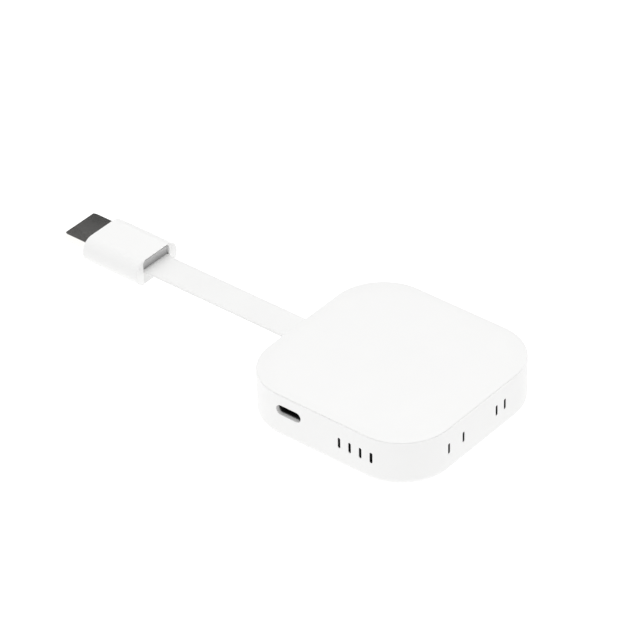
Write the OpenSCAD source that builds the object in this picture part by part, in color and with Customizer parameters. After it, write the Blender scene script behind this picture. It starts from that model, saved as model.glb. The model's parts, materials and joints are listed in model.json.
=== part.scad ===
/* [Puck body] */
// Side of the square body
puck_size = 67; // [66:0.5:72]
// Height of the body at its rim
puck_height = 16.15; // [15.9:0.05:18]
// Radius of the four upright corners
corner_radius = 17.2; // [15:0.1:20]
// Radius of the edge round the underside
bottom_fillet = 2.9; // [1.5:0.1:3.2]
// Wall of the lower case
wall = 1.8; // [1.5:0.1:2.2]
// Floor of the lower case
floor_thickness = 1.6; // [1.2:0.1:2]
// Gap between parts that slip together
fit_gap = 0.1; // [0.05:0.01:0.15]

/* [Top cover] */
// Rise of the top's gentle crown over its rim
crown_rise = 0.35; // [0.2:0.05:0.6]
// Height of the cover's edge that shows above the seam
cover_edge = 0.3; // [0.2:0.05:0.5]
// How far the cover's edge lies inside the case's outline
cover_inset = 0.25; // [0.1:0.05:0.4]
// Depth from the rim to the cover's underside
cover_thickness = 1.4; // [1.2:0.1:1.6]
// Gap between the skirt that nests inside the case and the USB socket's shell
skirt_gap = 0.45; // [0.2:0.05:0.8]
// Thickness of the skirt
skirt_thickness = 1; // [0.8:0.1:1.3]
// Width of a snap hook
hook_width = 5; // [4:0.5:6]
// Reach of a snap hook below the cover's underside
hook_reach = 3.8; // [3.2:0.1:4.2]
// How far a hook's catch stands out
hook_catch = 0.4; // [0.25:0.05:0.6]
// Height of a hook's catch
hook_catch_height = 1.2; // [0.8:0.1:1.4]

/* [Vent slots] */
// Width of a vent slot
vent_width = 1; // [0.7:0.1:1.3]
// Height of a vent slot
vent_height = 3.7; // [3:0.1:4]
// Share of the body's height at which the slots' middle lies
vent_axis_share = 0.551; // [0.52:0.001:0.58]
// Distance of the front group's middle from the body's middle
front_vent_offset = 12.5; // [11.5:0.1:13]
// Pitch of the front slots
front_vent_pitch = 3.9; // [3.2:0.1:4.2]
// Number of front slots
front_vent_count = 4; // [3:1:4]
// Distance of the side face's near pair from the middle
near_pair_offset = 12.6; // [11:0.1:13]
// Spacing of the near pair
near_pair_spacing = 6.9; // [5:0.1:7.4]
// Distance of the side face's far pair from the middle
far_pair_offset = 8.8; // [8:0.1:12]
// Spacing of the far pair
far_pair_spacing = 4; // [3:0.1:6]

/* [USB socket] */
// Distance of the socket's middle from the body's middle
usb_offset = 12.25; // [11.5:0.05:13]
// Share of the body's height at which the socket's middle lies
usb_axis_share = 0.6625; // [0.655:0.0005:0.675]
// Outside width of the socket's metal shell
usb_shell_width = 8.94; // [8.94:0.02:9.2]
// Outside height of the socket's metal shell
usb_shell_height = 3.2; // [3.16:0.02:3.3]
// Sheet thickness of the socket's metal shell
usb_shell_wall = 0.3; // [0.2:0.02:0.32]
// Length of the socket's metal shell
usb_shell_length = 7.35; // [7:0.05:8]
// How far the shell's mouth lies inside the body's face
usb_setback = 1.2; // [0.3:0.05:1.5]
// Gap between the shell and the opening in the case
usb_gap = 0.14; // [0.08:0.02:0.2]
// Depth of the plastic block that closes the shell's rear
usb_block_depth = 1.15; // [0.8:0.05:1.3]
// Width of the tongue
usb_tongue_width = 6.69; // [6.6:0.03:6.8]
// Thickness of the tongue
usb_tongue_thickness = 0.7; // [0.6:0.02:0.74]
// Length of the tongue
usb_tongue_length = 4.7; // [4.45:0.05:5]
// Pitch of the contacts
usb_contact_pitch = 0.5; // [0.5:0.01:0.52]
// Number of contacts in a row
usb_contact_count = 12; // [10:1:12]
// Width of a contact
usb_contact_width = 0.25; // [0.18:0.01:0.3]
// Length of a contact
usb_contact_length = 3.4; // [3:0.1:3.9]
// Thickness of a contact
usb_contact_thickness = 0.06; // [0.04:0.01:0.1]
// Length of a contact's solder tail behind the shell
usb_solder_length = 0.8; // [0.5:0.1:1]
// Thickness of a solder tail
usb_solder_thickness = 0.15; // [0.1:0.01:0.2]
// Width of the shell's board tabs
usb_tab_width = 1; // [0.8:0.1:1.2]
// Distance of the front tabs' middle from the board's edge
usb_tab_inset = 1.1; // [1:0.1:1.2]
// Distance between the tab rows
usb_tab_pitch = 2.3; // [2.1:0.1:2.5]
// How far the tabs stand out under the board
usb_tab_stickout = 0.4; // [0.2:0.1:0.6]

/* [Main board] */
// Side of the board that the inner layout and the vents' places are drawn for
layout_board_size = 60; // [58:0.5:66]
// Thickness of the board
board_thickness = 1; // [0.8:0.1:1.2]
// Gap between the board's edge and the case wall
board_margin = 1.7; // [1.5:0.1:1.9]
// Distance of the screws from the board's edges
screw_inset = 7.5; // [7:0.1:8]
// Radius of a screw's shank
screw_radius = 1; // [0.8:0.05:1.1]
// Length of a screw's shank
screw_length = 5.5; // [4.5:0.1:6]
// Length of a screw's point
screw_point = 0.8; // [0.5:0.1:1]
// Radius of a screw's head
screw_head_radius = 1.9; // [1.6:0.1:2]
// Height of a screw's head
screw_head_height = 1.3; // [1:0.1:1.5]
// Width of the cross in a screw's head
screw_cross_width = 0.4; // [0.3:0.05:0.5]
// Depth of the cross in a screw's head
screw_cross_depth = 0.7; // [0.5:0.1:0.8]
// Clearance round the shank in its boss
screw_thread_gap = 0.03; // [0.02:0.01:0.05]
// Clearance round the shank in the board
screw_board_gap = 0.15; // [0.1:0.01:0.25]
// Outside radius of a screw boss
boss_radius = 2.6; // [2.2:0.1:2.8]

/* [Chips] */
// Side of the processor
processor_size = 14; // [12:0.5:15]
// Height of the processor's substrate
processor_base = 0.7; // [0.5:0.05:0.8]
// Side of the processor's moulded cap
processor_cap_size = 11.5; // [10:0.5:12]
// Full height of the processor
processor_height = 1.2; // [1:0.05:1.3]
// Distance of the processor's middle left of the body's middle
processor_offset = 5.5; // [5:0.1:6]
// Width of a memory chip
memory_width = 8; // [7:0.1:8.5]
// Length of a memory chip
memory_length = 12; // [10:0.1:12.5]
// Height of a memory chip
memory_height = 1; // [0.8:0.05:1.2]
// Width of the flash chip
flash_width = 13; // [11:0.1:13.5]
// Length of the flash chip
flash_length = 11.5; // [10:0.1:12]
// Height of the flash chip
flash_height = 0.9; // [0.7:0.05:1.2]
// Side of the power chip
power_chip_size = 6; // [5:0.1:6.5]
// Height of the power chip
power_chip_height = 0.9; // [0.7:0.05:1]
// Side of a power inductor
inductor_size = 3.6; // [3:0.1:3.8]
// Height of a power inductor
inductor_height = 1.9; // [1.2:0.1:2.2]
// Number of power inductors
inductor_count = 3; // [2:1:3]
// Share of an inductor's side that its solder notches' depth takes
inductor_notch_share = 0.12; // [0.06:0.01:0.15]
// Length of a ceramic capacitor
ceramic_length = 2; // [1.6:0.1:2]
// Width of a ceramic capacitor
ceramic_width = 1.25; // [0.8:0.05:1.3]
// Height of a ceramic capacitor
ceramic_height = 0.9; // [0.6:0.1:1]
// Length of a ceramic capacitor's metal end
ceramic_cap = 0.4; // [0.25:0.05:0.5]
// Share of a ceramic capacitor's ends that its body's width and height take
ceramic_body_share = 0.92; // [0.85:0.01:0.96]
// Pitch of the ceramic capacitors
ceramic_pitch = 2.6; // [2.4:0.1:2.8]
// Number of ceramic capacitors in the long row
ceramic_row = 9; // [5:1:9]
// Number of ceramic capacitors in the short column
ceramic_column = 5; // [3:1:6]
// Length of a tantalum capacitor
tantalum_length = 3.5; // [3:0.1:3.6]
// Width of a tantalum capacitor
tantalum_width = 2.8; // [2:0.1:3]
// Height of a tantalum capacitor
tantalum_height = 1.9; // [1.5:0.1:2.1]
// Length of the crystal's can
crystal_length = 3.2; // [2.5:0.1:3.5]
// Width of the crystal's can
crystal_width = 2.5; // [2:0.1:2.6]
// Height of the crystal's can
crystal_height = 0.8; // [0.6:0.05:1]
// Side of the surge chip behind the USB socket
surge_size = 2.4; // [2:0.1:2.6]
// Height of the surge chip
surge_height = 0.6; // [0.5:0.05:0.8]
// Gap between neighbouring chips
chip_gap = 1; // [0.8:0.05:1.2]

/* [Wireless] */
// Side of the wireless module
wireless_size = 12; // [10:0.1:12.5]
// Thickness of the module's board
wireless_board = 0.6; // [0.4:0.05:0.8]
// Height of the module's metal can above its board
wireless_can_height = 1.5; // [1.2:0.1:1.8]
// Width of the board strip left bare round the can
wireless_border = 0.5; // [0.3:0.05:0.8]
// Distance of the module's middle behind the body's middle
wireless_offset = 7; // [6.5:0.1:8]
// Length of an antenna's radiating strip
antenna_length = 13; // [10:0.1:14]
// Width of an antenna's radiating strip
antenna_width = 3; // [2:0.1:3.2]
// Height of an antenna's strip above the board
antenna_height = 4; // [3:0.1:4.4]
// Sheet thickness of an antenna
antenna_sheet = 0.3; // [0.2:0.05:0.4]
// Depth of the fold at an antenna's far end
antenna_fold = 1.3; // [0.8:0.1:1.6]
// Width of an antenna's legs
antenna_leg = 1; // [0.6:0.1:1.5]
// Distance between an antenna's legs
antenna_leg_spacing = 3; // [2.5:0.1:4]
// Distance of an antenna's strip from the board's rear edge
antenna_inset = 1.5; // [1:0.1:2]
// Distance of an antenna's near end from the body's middle
antenna_offset = 8.5; // [8:0.1:9]

/* [Shield and heat path] */
// Height of the shield's fence
fence_height = 1.6; // [1.5:0.05:1.8]
// Sheet thickness of the fence
fence_sheet = 0.25; // [0.2:0.01:0.3]
// Width of the flange on the fence's top
fence_flange = 0.8; // [0.6:0.1:0.9]
// Sheet thickness of the shield's lid
shield_lid_sheet = 0.2; // [0.15:0.01:0.25]
// Depth of the shield lid's sides
shield_lid_depth = 1.1; // [0.8:0.05:1.2]
// Clearance between the lid's sides and the fence
shield_lid_gap = 0.04; // [0.02:0.01:0.08]
// Thickness of the soft pads over and under the stack
pad_thickness = 0.5; // [0.3:0.05:0.7]
// Thickness of the two heat spreaders
spreader_thickness = 1.5; // [1.2:0.1:1.6]
// Side of the spreaders' raised blocks
pedestal_size = 15; // [13:0.5:16]
// Width of the upper spreader
upper_spreader_width = 42; // [36:0.5:43]
// Length of the upper spreader
upper_spreader_length = 38; // [34:0.5:39]
// Distance of the upper spreader's middle in front of the body's middle
upper_spreader_offset = 2; // [1.5:0.1:3]
// Side of the lower spreader
lower_spreader_size = 36; // [32:0.5:37]
// Radius of the spreaders' corners
spreader_corner = 3; // [2:0.1:3.5]
// Distance of the heat stakes from a spreader's edges
stake_inset = 4; // [3:0.1:4.5]
// Radius of a heat stake
stake_radius = 1.1; // [0.9:0.05:1.2]
// Radius of a heat stake's formed head
stake_head_radius = 1.9; // [1.6:0.05:2]
// Height of a heat stake's formed head
stake_head_height = 0.5; // [0.4:0.05:0.7]

/* [Reset button] */
// Distance of the button left of the body's middle
reset_offset = 24; // [23.5:0.1:24.5]
// Distance of the button behind the body's middle
reset_rear_offset = 10; // [9:0.1:11]
// Radius of the pinhole
pinhole_radius = 0.9; // [0.7:0.05:1]
// Outside radius of the guide tube over the pinhole
guide_radius = 1.9; // [1.6:0.05:2]
// Gap between the guide tube's top and the switch
guide_gap = 1.9; // [1.6:0.1:2.4]
// Side of the switch
switch_size = 4; // [3.5:0.1:4.4]
// Height of the switch under the board
switch_height = 2; // [1.7:0.05:2.2]
// Radius of the switch's plunger
plunger_radius = 0.8; // [0.6:0.05:0.9]
// How far the plunger stands out of the switch
plunger_stickout = 0.5; // [0.35:0.05:0.6]
// How deep the plunger reaches into the switch
plunger_depth = 1; // [0.8:0.05:1.1]
// Travel of the plunger
plunger_travel = 0.25; // [0.2:0.01:0.3]
// Clearance round the plunger
plunger_gap = 0.05; // [0.03:0.01:0.08]

/* [Tail] */
// Share of the body's height at which the tail's and the plug's middle lies
connector_axis_share = 0.6875; // [0.675:0.0005:0.7]
// Width of the flat tail
tail_width = 11.1; // [10.6:0.1:11.4]
// Thickness of the flat tail
tail_thickness = 0.85; // [0.8:0.05:1]
// Radius of the tail's long edges
tail_edge = 0.4; // [0.3:0.01:0.4]
// Free length of the tail between the body and the plug
tail_length = 58.4; // [50:0.1:75]
// Share of the free length that the stretch next to the body takes
tail_near_share = 0.38; // [0.34:0.01:0.42]
// Share of the free length that the middle stretch takes
tail_middle_share = 0.24; // [0.18:0.01:0.3]
// Length of the tail's widened root at the plug
flare_length = 6; // [4:0.1:8]
// How much wider the root is on each side
flare_width = 0.42; // [0.2:0.02:0.46]
// Thickness of the widened root's sides
flare_thickness = 0.5; // [0.4:0.05:0.6]
// Width of the ribbon of wires inside the jacket
ribbon_width = 9.6; // [9.5:0.1:9.8]
// Thickness of the ribbon of wires
ribbon_thickness = 0.3; // [0.2:0.01:0.34]
// Clearance between the ribbon and the jacket
ribbon_gap = 0.04; // [0.02:0.01:0.06]
// Gap between the tail and the slot in the case
tail_slot_gap = 0.35; // [0.25:0.05:0.45]
// Width of the clamp that grips the tail in the body
clamp_width = 15; // [14:0.1:16]
// Length of the clamp
clamp_length = 6.6; // [5.5:0.1:7]
// Gap between the clamp's top and the cover's skirt
clamp_gap = 0.15; // [0.05:0.05:0.4]
// Radius of the clamp's locating pegs
peg_radius = 0.75; // [0.6:0.05:0.9]
// Distance of the pegs from the clamp's sides and inner end
peg_inset = 1.6; // [1.4:0.1:1.8]
// Width of a wire's flattened end
wire_width = 0.28; // [0.2:0.02:0.34]
// Thickness of a wire's flattened end
wire_thickness = 0.2; // [0.14:0.02:0.24]
// Pitch of the wires
wire_pitch = 0.5; // [0.48:0.01:0.52]
// Number of wires
wire_count = 19; // [15:2:19]
// Length of a wire's straight start
wire_start = 0.4; // [0.3:0.05:0.5]
// Length over which a wire comes down to its pad
wire_drop = 1.6; // [1.4:0.1:2]
// Length of a wire's soldered end
wire_foot = 1; // [0.6:0.1:1.2]

/* [Plug] */
// Width of the plug's sleeve
sleeve_width = 19.3; // [18.6:0.1:20]
// Height of the plug's sleeve
sleeve_height = 9.1; // [8.7:0.1:10]
// Length of the plug's sleeve
sleeve_length = 22; // [20.5:0.1:26]
// Wall of the sleeve
sleeve_wall = 1.1; // [0.9:0.05:1.1]
// Depth of the recess in the sleeve's rear
recess_depth = 0.7; // [0.6:0.05:1.2]
// Width of the recess
recess_width = 12.2; // [12.04:0.02:12.6]
// Wall left over the recess
recess_top_wall = 0.2; // [0.2:0.05:0.6]
// Radius of the recess's upper corners
recess_corner = 1.2; // [0.8:0.05:1.6]
// Gap under the tail in the recess
recess_tail_gap = 0.15; // [0.1:0.01:0.25]
// Gap round the tail in the inner moulding
mould_tail_gap = 0.2; // [0.15:0.05:0.3]
// Depth of the shallow step from the recess down to the underside
step_depth = 0.45; // [0.2:0.05:0.45]
// Width of the metal shell
shell_width = 13.9; // [13.8:0.05:14]
// Height of the metal shell
shell_height = 4.45; // [4.4:0.05:4.55]
// Sheet thickness of the metal shell
shell_sheet = 0.35; // [0.25:0.05:0.4]
// Height of the shell's bevelled lower corners
shell_bevel_height = 1.8; // [1.5:0.05:2]
// Width of the shell's bevelled lower corners
shell_bevel_width = 1.6; // [1.4:0.05:1.8]
// Length of the shell that stands out of the sleeve
shell_exposed = 9.6; // [8.5:0.1:12]
// Length of the shell inside the sleeve
shell_buried = 6; // [5:0.1:6.5]
// Length of the taper at the shell's tip
tip_length = 1.1; // [0.8:0.05:1.3]
// How much the taper narrows each side
tip_narrowing = 0.6; // [0.3:0.05:0.7]
// Length of a latch window in the shell's underside
window_length = 1.9; // [1.4:0.1:2.2]
// Width of a latch window
window_width = 1.6; // [1.2:0.1:1.8]
// Spacing of the latch windows
window_spacing = 5.4; // [4.5:0.1:6]
// Distance of the latch windows from the tip
window_setback = 5; // [4.5:0.1:5.5]
// How far the insulator lies inside the shell's tip
insulator_setback = 0.5; // [0.3:0.05:1.2]
// Width of the slot in the insulator
mouth_width = 11.1; // [10.6:0.05:11.3]
// Height of the slot in the insulator
mouth_height = 1.95; // [1.8:0.05:2.05]
// Depth of the slot in the insulator
mouth_depth = 7.5; // [6:0.1:8]
// Pitch of the contacts in a row
contact_pitch = 1; // [0.96:0.01:1.02]
// Number of contacts in the upper row
contact_count = 10; // [8:1:10]
// Width of a contact
contact_width = 0.4; // [0.3:0.02:0.5]
// Thickness of a contact
contact_thickness = 0.2; // [0.12:0.01:0.25]
// Length of a contact in the slot
contact_length = 5.5; // [4:0.1:5.8]
// Length of a contact's tail on the paddle board
contact_tail = 2; // [1.5:0.1:2.4]
// Width of the paddle board
paddle_width = 12.2; // [11.8:0.1:12.4]
// Thickness of the paddle board
paddle_thickness = 0.8; // [0.6:0.05:0.9]
// Length of the paddle board
paddle_length = 9.3; // [8.8:0.1:9.4]
// Width of the folded shield round the paddle board
can_width = 13.4; // [13.2:0.05:13.6]
// Sheet thickness of the folded shield
can_sheet = 0.2; // [0.15:0.01:0.25]
// Depth at which the tail's anchor lies behind the recess
anchor_setback = 0.6; // [0.4:0.05:0.8]
// Length of the tail's anchor
anchor_length = 3; // [2.6:0.1:3.2]
// Width of the tail's anchor
anchor_width = 12.6; // [12:0.1:13]
// Height of the tail's anchor
anchor_height = 2.8; // [2:0.1:3]

/* [Hidden] */
$fn = 64;

// Every cut runs past the face that it starts from by this much
overrun = floor_thickness;

// Body, seam and cavity
puck_half = puck_size / 2;
seam_height = puck_height - cover_edge;
cover_size = puck_size - 2 * cover_inset;
usb_axis = puck_height * usb_axis_share;
connector_axis = puck_height * connector_axis_share;
vent_axis = puck_height * vent_axis_share;
skirt_bottom = usb_axis + usb_shell_height / 2 + skirt_gap;
cover_under = puck_height - cover_thickness;
cavity_size = puck_size - 2 * wall;
cavity_half = cavity_size / 2;
cavity_radius = corner_radius - wall;
plug_in_size = cavity_size - 2 * fit_gap;
plug_in_radius = cavity_radius - fit_gap;
crown_radius = (puck_half * puck_half + crown_rise * crown_rise) / (2 * crown_rise);
crown_centre = puck_height + crown_rise - crown_radius;
crown_reach_share = 0.65;
crown_reach = puck_size * crown_reach_share;
crown_steps = 10;

// Side of the body that a hook is on, in degrees, and its place along that side
hook_spot_shares = [[0, -0.04], [90, 0.36], [90, -0.36], [180, 0.39], [180, -0.39], [270, -0.015]];

// Board
board_size = cavity_size - 2 * board_margin;
board_half = board_size / 2;
board_radius = cavity_radius - board_margin;
layout = board_size / layout_board_size;
board_top = usb_axis - usb_shell_height / 2;
board_bottom = board_top - board_thickness;
screw_spot = board_half - screw_inset * layout;

// Socket, measured along the front face's inward direction
usb_x = -usb_offset * layout;
usb_front = -(puck_half - usb_setback);
usb_rear = usb_front + usb_shell_length;
usb_block_front = usb_rear - usb_block_depth;
usb_tongue_tip = usb_block_front - usb_tongue_length;
usb_inner_width = usb_shell_width - 2 * usb_shell_wall;
usb_inner_height = usb_shell_height - 2 * usb_shell_wall;
usb_tab_spots = [-board_half + usb_tab_inset, -board_half + usb_tab_inset + usb_tab_pitch];
usb_tab_slot = 2 * fit_gap;

// Places of the chips, each set against its neighbour
processor_x = -processor_offset;
fence_left = processor_x - processor_size / 2 - chip_gap;
fence_right = processor_x + processor_size / 2 + memory_width + 2 * chip_gap;
fence_length = max(processor_size, 2 * memory_length + chip_gap) + 2 * chip_gap;
fence_width = fence_right - fence_left;
fence_x = (fence_left + fence_right) / 2;
fence_top = board_top + fence_height;
memory_x = fence_right - chip_gap - memory_width / 2;
memory_y = (memory_length + chip_gap) / 2;
flash_y = fence_length / 2 + chip_gap + flash_length / 2;
wireless_x = fence_right + chip_gap + shield_lid_sheet + shield_lid_gap + wireless_size / 2;
power_chip_y = wireless_offset - wireless_size / 2 - chip_gap - power_chip_size / 2;
inductor_y = power_chip_y - power_chip_size / 2 - chip_gap - inductor_size / 2;
inductor_pitch = inductor_size + chip_gap;
ceramic_row_y = -(fence_length / 2 + chip_gap + ceramic_length / 2);
ceramic_column_x = fence_left - chip_gap - ceramic_length / 2;
crystal_x = ceramic_column_x - ceramic_length / 2 - chip_gap - crystal_width / 2;
crystal_y = (ceramic_column - 1) / 2 * ceramic_pitch + ceramic_pitch + crystal_length / 2;
tantalum_x = usb_x + usb_shell_width / 2 + 2 * chip_gap + tantalum_width / 2;
tantalum_y = -board_half + 2 * chip_gap + tantalum_length / 2;
surge_y = usb_rear + usb_solder_length + chip_gap + surge_size / 2;

// Edge of the antennas' strips that faces the body's middle
antenna_y = board_half - (antenna_inset + antenna_width) * layout;

// Stack from the processor up and down to the spreaders
shield_lid_top = fence_top + shield_lid_sheet;
upper_plate_bottom = cover_under - spreader_thickness;
upper_width = upper_spreader_width * layout;
upper_length = upper_spreader_length * layout;
upper_y = -upper_spreader_offset * layout;
lower_size = lower_spreader_size * layout;
upper_pad_top = shield_lid_top + pad_thickness;
lower_plate_top = floor_thickness + spreader_thickness;
lower_pad_bottom = board_bottom - pad_thickness;
pad_size = pedestal_size - 2 * pad_thickness;

// Reset switch under the board
reset_x = -reset_offset * layout;
reset_y = reset_rear_offset * layout;
switch_bottom = board_bottom - switch_height;
plunger_bottom = switch_bottom - plunger_stickout;
guide_top = switch_bottom - guide_gap;

// Tail, from the body towards the plug along the row's negative X
tail_start = -(cavity_half - fit_gap);
tail_exit = -puck_half;
tail_bend_start = tail_exit - tail_length * tail_near_share;
tail_bend_end = tail_bend_start - tail_length * tail_middle_share;
sleeve_rear = tail_exit - tail_length;
mould_rear = sleeve_rear - recess_depth;
tail_end = mould_rear - anchor_setback;
sleeve_front = sleeve_rear - sleeve_length;
clamp_inner = tail_start + clamp_length;
ribbon_start = clamp_inner;
ribbon_slot_width = ribbon_width + 2 * ribbon_gap;
ribbon_slot_height = ribbon_thickness + 2 * ribbon_gap;
flare_radius = (flare_length * flare_length + flare_width * flare_width) / (2 * flare_width);

// Plug, from its rear to its tip
anchor_front = tail_end - anchor_length;
shell_rear = sleeve_front + shell_buried;
shell_tip = sleeve_front - shell_exposed;
paddle_rear = shell_rear + paddle_length;
can_rear = anchor_front - fit_gap;
can_height = shell_height;
cavity_oval_width = sleeve_width - 2 * sleeve_wall;
cavity_oval_height = sleeve_height - 2 * sleeve_wall;
recess_bottom = connector_axis - tail_thickness / 2 - recess_tail_gap;
recess_top = connector_axis + sleeve_height / 2 - recess_top_wall;
contact_step = mouth_height / 2;

// A profile in Y and Z, drawn out between two places along X
module along_x(x_low, x_high) {
    translate([x_low, 0, 0])
        rotate([90, 0, 90])
            linear_extrude(x_high - x_low)
                children();
}

// A profile in X and Z, drawn out between two places along Y
module along_y(y_low, y_high) {
    translate([0, y_high, 0])
        rotate([90, 0, 0])
            linear_extrude(y_high - y_low)
                children();
}

// Rectangle with round corners, on its middle
module rounded_rectangle(width, height, radius) {
    square([width - 2 * radius, height], center = true);
    square([width, height - 2 * radius], center = true);
    for (side = [-1, 1], level = [-1, 1])
        translate([side * (width / 2 - radius), level * (height / 2 - radius)])
            circle(radius);
}

// Level oval with round ends, on its middle
module stadium(width, height) {
    square([width - height, height], center = true);
    for (side = [-1, 1])
        translate([side * (width - height) / 2, 0])
            circle(height / 2);
}

// Upright slab with round corners between two heights
module rounded_prism(width, length, radius, low, high) {
    translate([0, 0, low])
        linear_extrude(high - low)
            rounded_rectangle(width, length, radius);
}

// Box on its middle in X and Y, between two heights
module block(width, length, low, high) {
    translate([-width / 2, -length / 2, low])
        cube([width, length, high - low]);
}

// Place on the board, for a part of the inner layout
module on_board(x, y) {
    translate([x * layout, y * layout, 0])
        children();
}

// Box of the inner layout, whose plan follows the board's size
module board_block(width, length, low, high) {
    block(width * layout, length * layout, low, high);
}

// Square body whose corners and underside are round
module filleted_body(size, height, radius, fillet) {
    straight = size - 2 * radius;
    for (x_side = [-1, 1], y_side = [-1, 1])
        translate([x_side * straight / 2, y_side * straight / 2, 0])
            rotate_extrude() {
                square([radius - fillet, height]);
                translate([0, fillet])
                    square([radius, height - fillet]);
                translate([radius - fillet, fillet])
                    intersection() {
                        circle(fillet);
                        translate([0, -fillet])
                            square([fillet, fillet]);
                    }
            }
    for (turn = [0, 90])
        rotate([0, 0, turn])
            along_x(-straight / 2, straight / 2) {
                translate([-size / 2 + fillet, 0])
                    square([size - 2 * fillet, height]);
                translate([-size / 2, fillet])
                    square([size, height - fillet]);
                for (side = [-1, 1])
                    translate([side * (size / 2 - fillet), fillet])
                        circle(fillet);
            }
}

// Height of the crowned top at a distance from the middle
function crown_height(reach) = crown_centre + sqrt(crown_radius * crown_radius - reach * reach);

// Space under the crowned top, in rings that fall away a little more each
module crown_space() {
    rotate_extrude()
        polygon(concat(
            [[0, seam_height - overrun], [crown_reach, seam_height - overrun]],
            [
                for (ring = [crown_steps:-1:0])
                    [ring * crown_reach / crown_steps, crown_height(ring * crown_reach / crown_steps)]
            ]
        ));
}

module at_screws() {
    for (x_side = [-1, 1], y_side = [-1, 1])
        translate([x_side * screw_spot, y_side * screw_spot, 0])
            children();
}

// Copies at a spreader's four stakes
module at_stakes(width, length) {
    for (x_side = [-1, 1], y_side = [-1, 1])
        translate([x_side * (width / 2 - stake_inset), y_side * (length / 2 - stake_inset), 0])
            children();
}

// Copies on the snap hooks' places, with X pointing out through the wall
module at_hooks(reach) {
    for (spot = hook_spot_shares)
        rotate([0, 0, spot[0]])
            translate([reach, spot[1] * puck_half, 0])
                children();
}

module at_usb() {
    translate([usb_x, 0, usb_axis])
        children();
}

module upright_slot() {
    rotate([0, 0, 90])
        stadium(vent_height, vent_width);
}

module vent_slots() {
    pitch = front_vent_pitch * layout;
    first = front_vent_offset * layout - (front_vent_count - 1) * pitch / 2;
    for (slot = [0:front_vent_count - 1])
        translate([first + slot * pitch, 0, vent_axis])
            along_y(-puck_half - overrun, -cavity_half + overrun)
                upright_slot();
    for (side = [-1, 1])
        for (y = [
            -near_pair_offset + side * near_pair_spacing / 2,
            far_pair_offset + side * far_pair_spacing / 2
        ])
            translate([0, y * layout, vent_axis])
                along_x(cavity_half - overrun, puck_half + overrun)
                    upright_slot();
}

module hook_pocket() {
    catch_bottom = cover_under - hook_reach;
    translate([-overrun, -hook_width / 2 - 2 * fit_gap, catch_bottom - 2 * fit_gap])
        cube([
            hook_catch + overrun,
            hook_width + 4 * fit_gap,
            hook_catch_height + 3 * fit_gap
        ]);
}

// Post through a spreader with its formed head, growing from zero towards positive Z
module heat_stake() {
    root = floor_thickness / 2;
    translate([0, 0, -root])
        cylinder(h = root + spreader_thickness + stake_head_height, r = stake_radius);
    translate([0, 0, spreader_thickness])
        cylinder(h = stake_head_height, r = stake_head_radius);
}

module base_case() {
    color("white")
        difference() {
            union() {
                difference() {
                    filleted_body(puck_size, seam_height, corner_radius, bottom_fillet);
                    rounded_prism(
                        cavity_size, cavity_size, cavity_radius,
                        floor_thickness, seam_height + overrun
                    );
                }
                at_screws()
                    translate([0, 0, floor_thickness / 2])
                        cylinder(h = board_bottom - floor_thickness / 2, r = boss_radius);
                translate([reset_x, reset_y, floor_thickness / 2])
                    cylinder(h = guide_top - floor_thickness / 2, r = guide_radius);
                at_stakes(lower_size, lower_size)
                    translate([0, 0, floor_thickness])
                        heat_stake();
            }
            at_screws()
                translate([0, 0, board_top - screw_length - screw_point])
                    cylinder(h = screw_length + overrun, r = screw_radius + screw_thread_gap);
            translate([reset_x, reset_y, -overrun])
                cylinder(h = guide_top + 2 * overrun, r = pinhole_radius);
            at_usb()
                along_y(-puck_half - overrun, -cavity_half + overrun)
                    stadium(usb_shell_width + 2 * usb_gap, usb_shell_height + 2 * usb_gap);
            vent_slots();
            translate([0, 0, connector_axis])
                along_x(-puck_half - overrun, -cavity_half + overrun)
                    rounded_rectangle(
                        tail_width + 2 * tail_slot_gap,
                        tail_thickness + 2 * tail_slot_gap,
                        tail_edge
                    );
            at_hooks(cavity_half)
                hook_pocket();
        }
}

// Leg and catch of a snap hook, with X pointing out through the wall
module snap_hook() {
    leg_bottom = cover_under - hook_reach;
    translate([-skirt_thickness, -hook_width / 2, leg_bottom])
        cube([skirt_thickness, hook_width, hook_reach + cover_thickness / 2]);
    translate([0, 0, leg_bottom])
        along_y(-hook_width / 2, hook_width / 2)
            polygon([
                [-skirt_thickness / 2, 0],
                [0, 0],
                [hook_catch, hook_catch_height / 2],
                [hook_catch, hook_catch_height],
                [-skirt_thickness / 2, hook_catch_height]
            ]);
}

module top_cover() {
    color("white") {
        difference() {
            union() {
                intersection() {
                    rounded_prism(
                        cover_size, cover_size, corner_radius - cover_inset,
                        seam_height, puck_height + crown_rise
                    );
                    crown_space();
                }
                rounded_prism(
                    plug_in_size, plug_in_size, plug_in_radius,
                    skirt_bottom, seam_height + cover_edge / 2
                );
            }
            rounded_prism(
                plug_in_size - 2 * skirt_thickness,
                plug_in_size - 2 * skirt_thickness,
                plug_in_radius - skirt_thickness,
                skirt_bottom - overrun, cover_under
            );
        }
        at_hooks(cavity_half - fit_gap)
            snap_hook();
        translate([0, upper_y, cover_under])
            at_stakes(upper_width, upper_length)
                mirror([0, 0, 1])
                    heat_stake();
    }
}

module upper_heat_spreader() {
    color("silver")
        difference() {
            union() {
                translate([0, upper_y, 0])
                    rounded_prism(
                        upper_width, upper_length, spreader_corner,
                        upper_plate_bottom, cover_under
                    );
                on_board(processor_x, 0)
                    board_block(
                        pedestal_size, pedestal_size,
                        upper_pad_top, upper_plate_bottom + spreader_thickness / 2
                    );
            }
            translate([0, upper_y, upper_plate_bottom - overrun])
                at_stakes(upper_width, upper_length)
                    cylinder(h = spreader_thickness + 2 * overrun, r = stake_radius + fit_gap / 2);
        }
}

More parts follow.
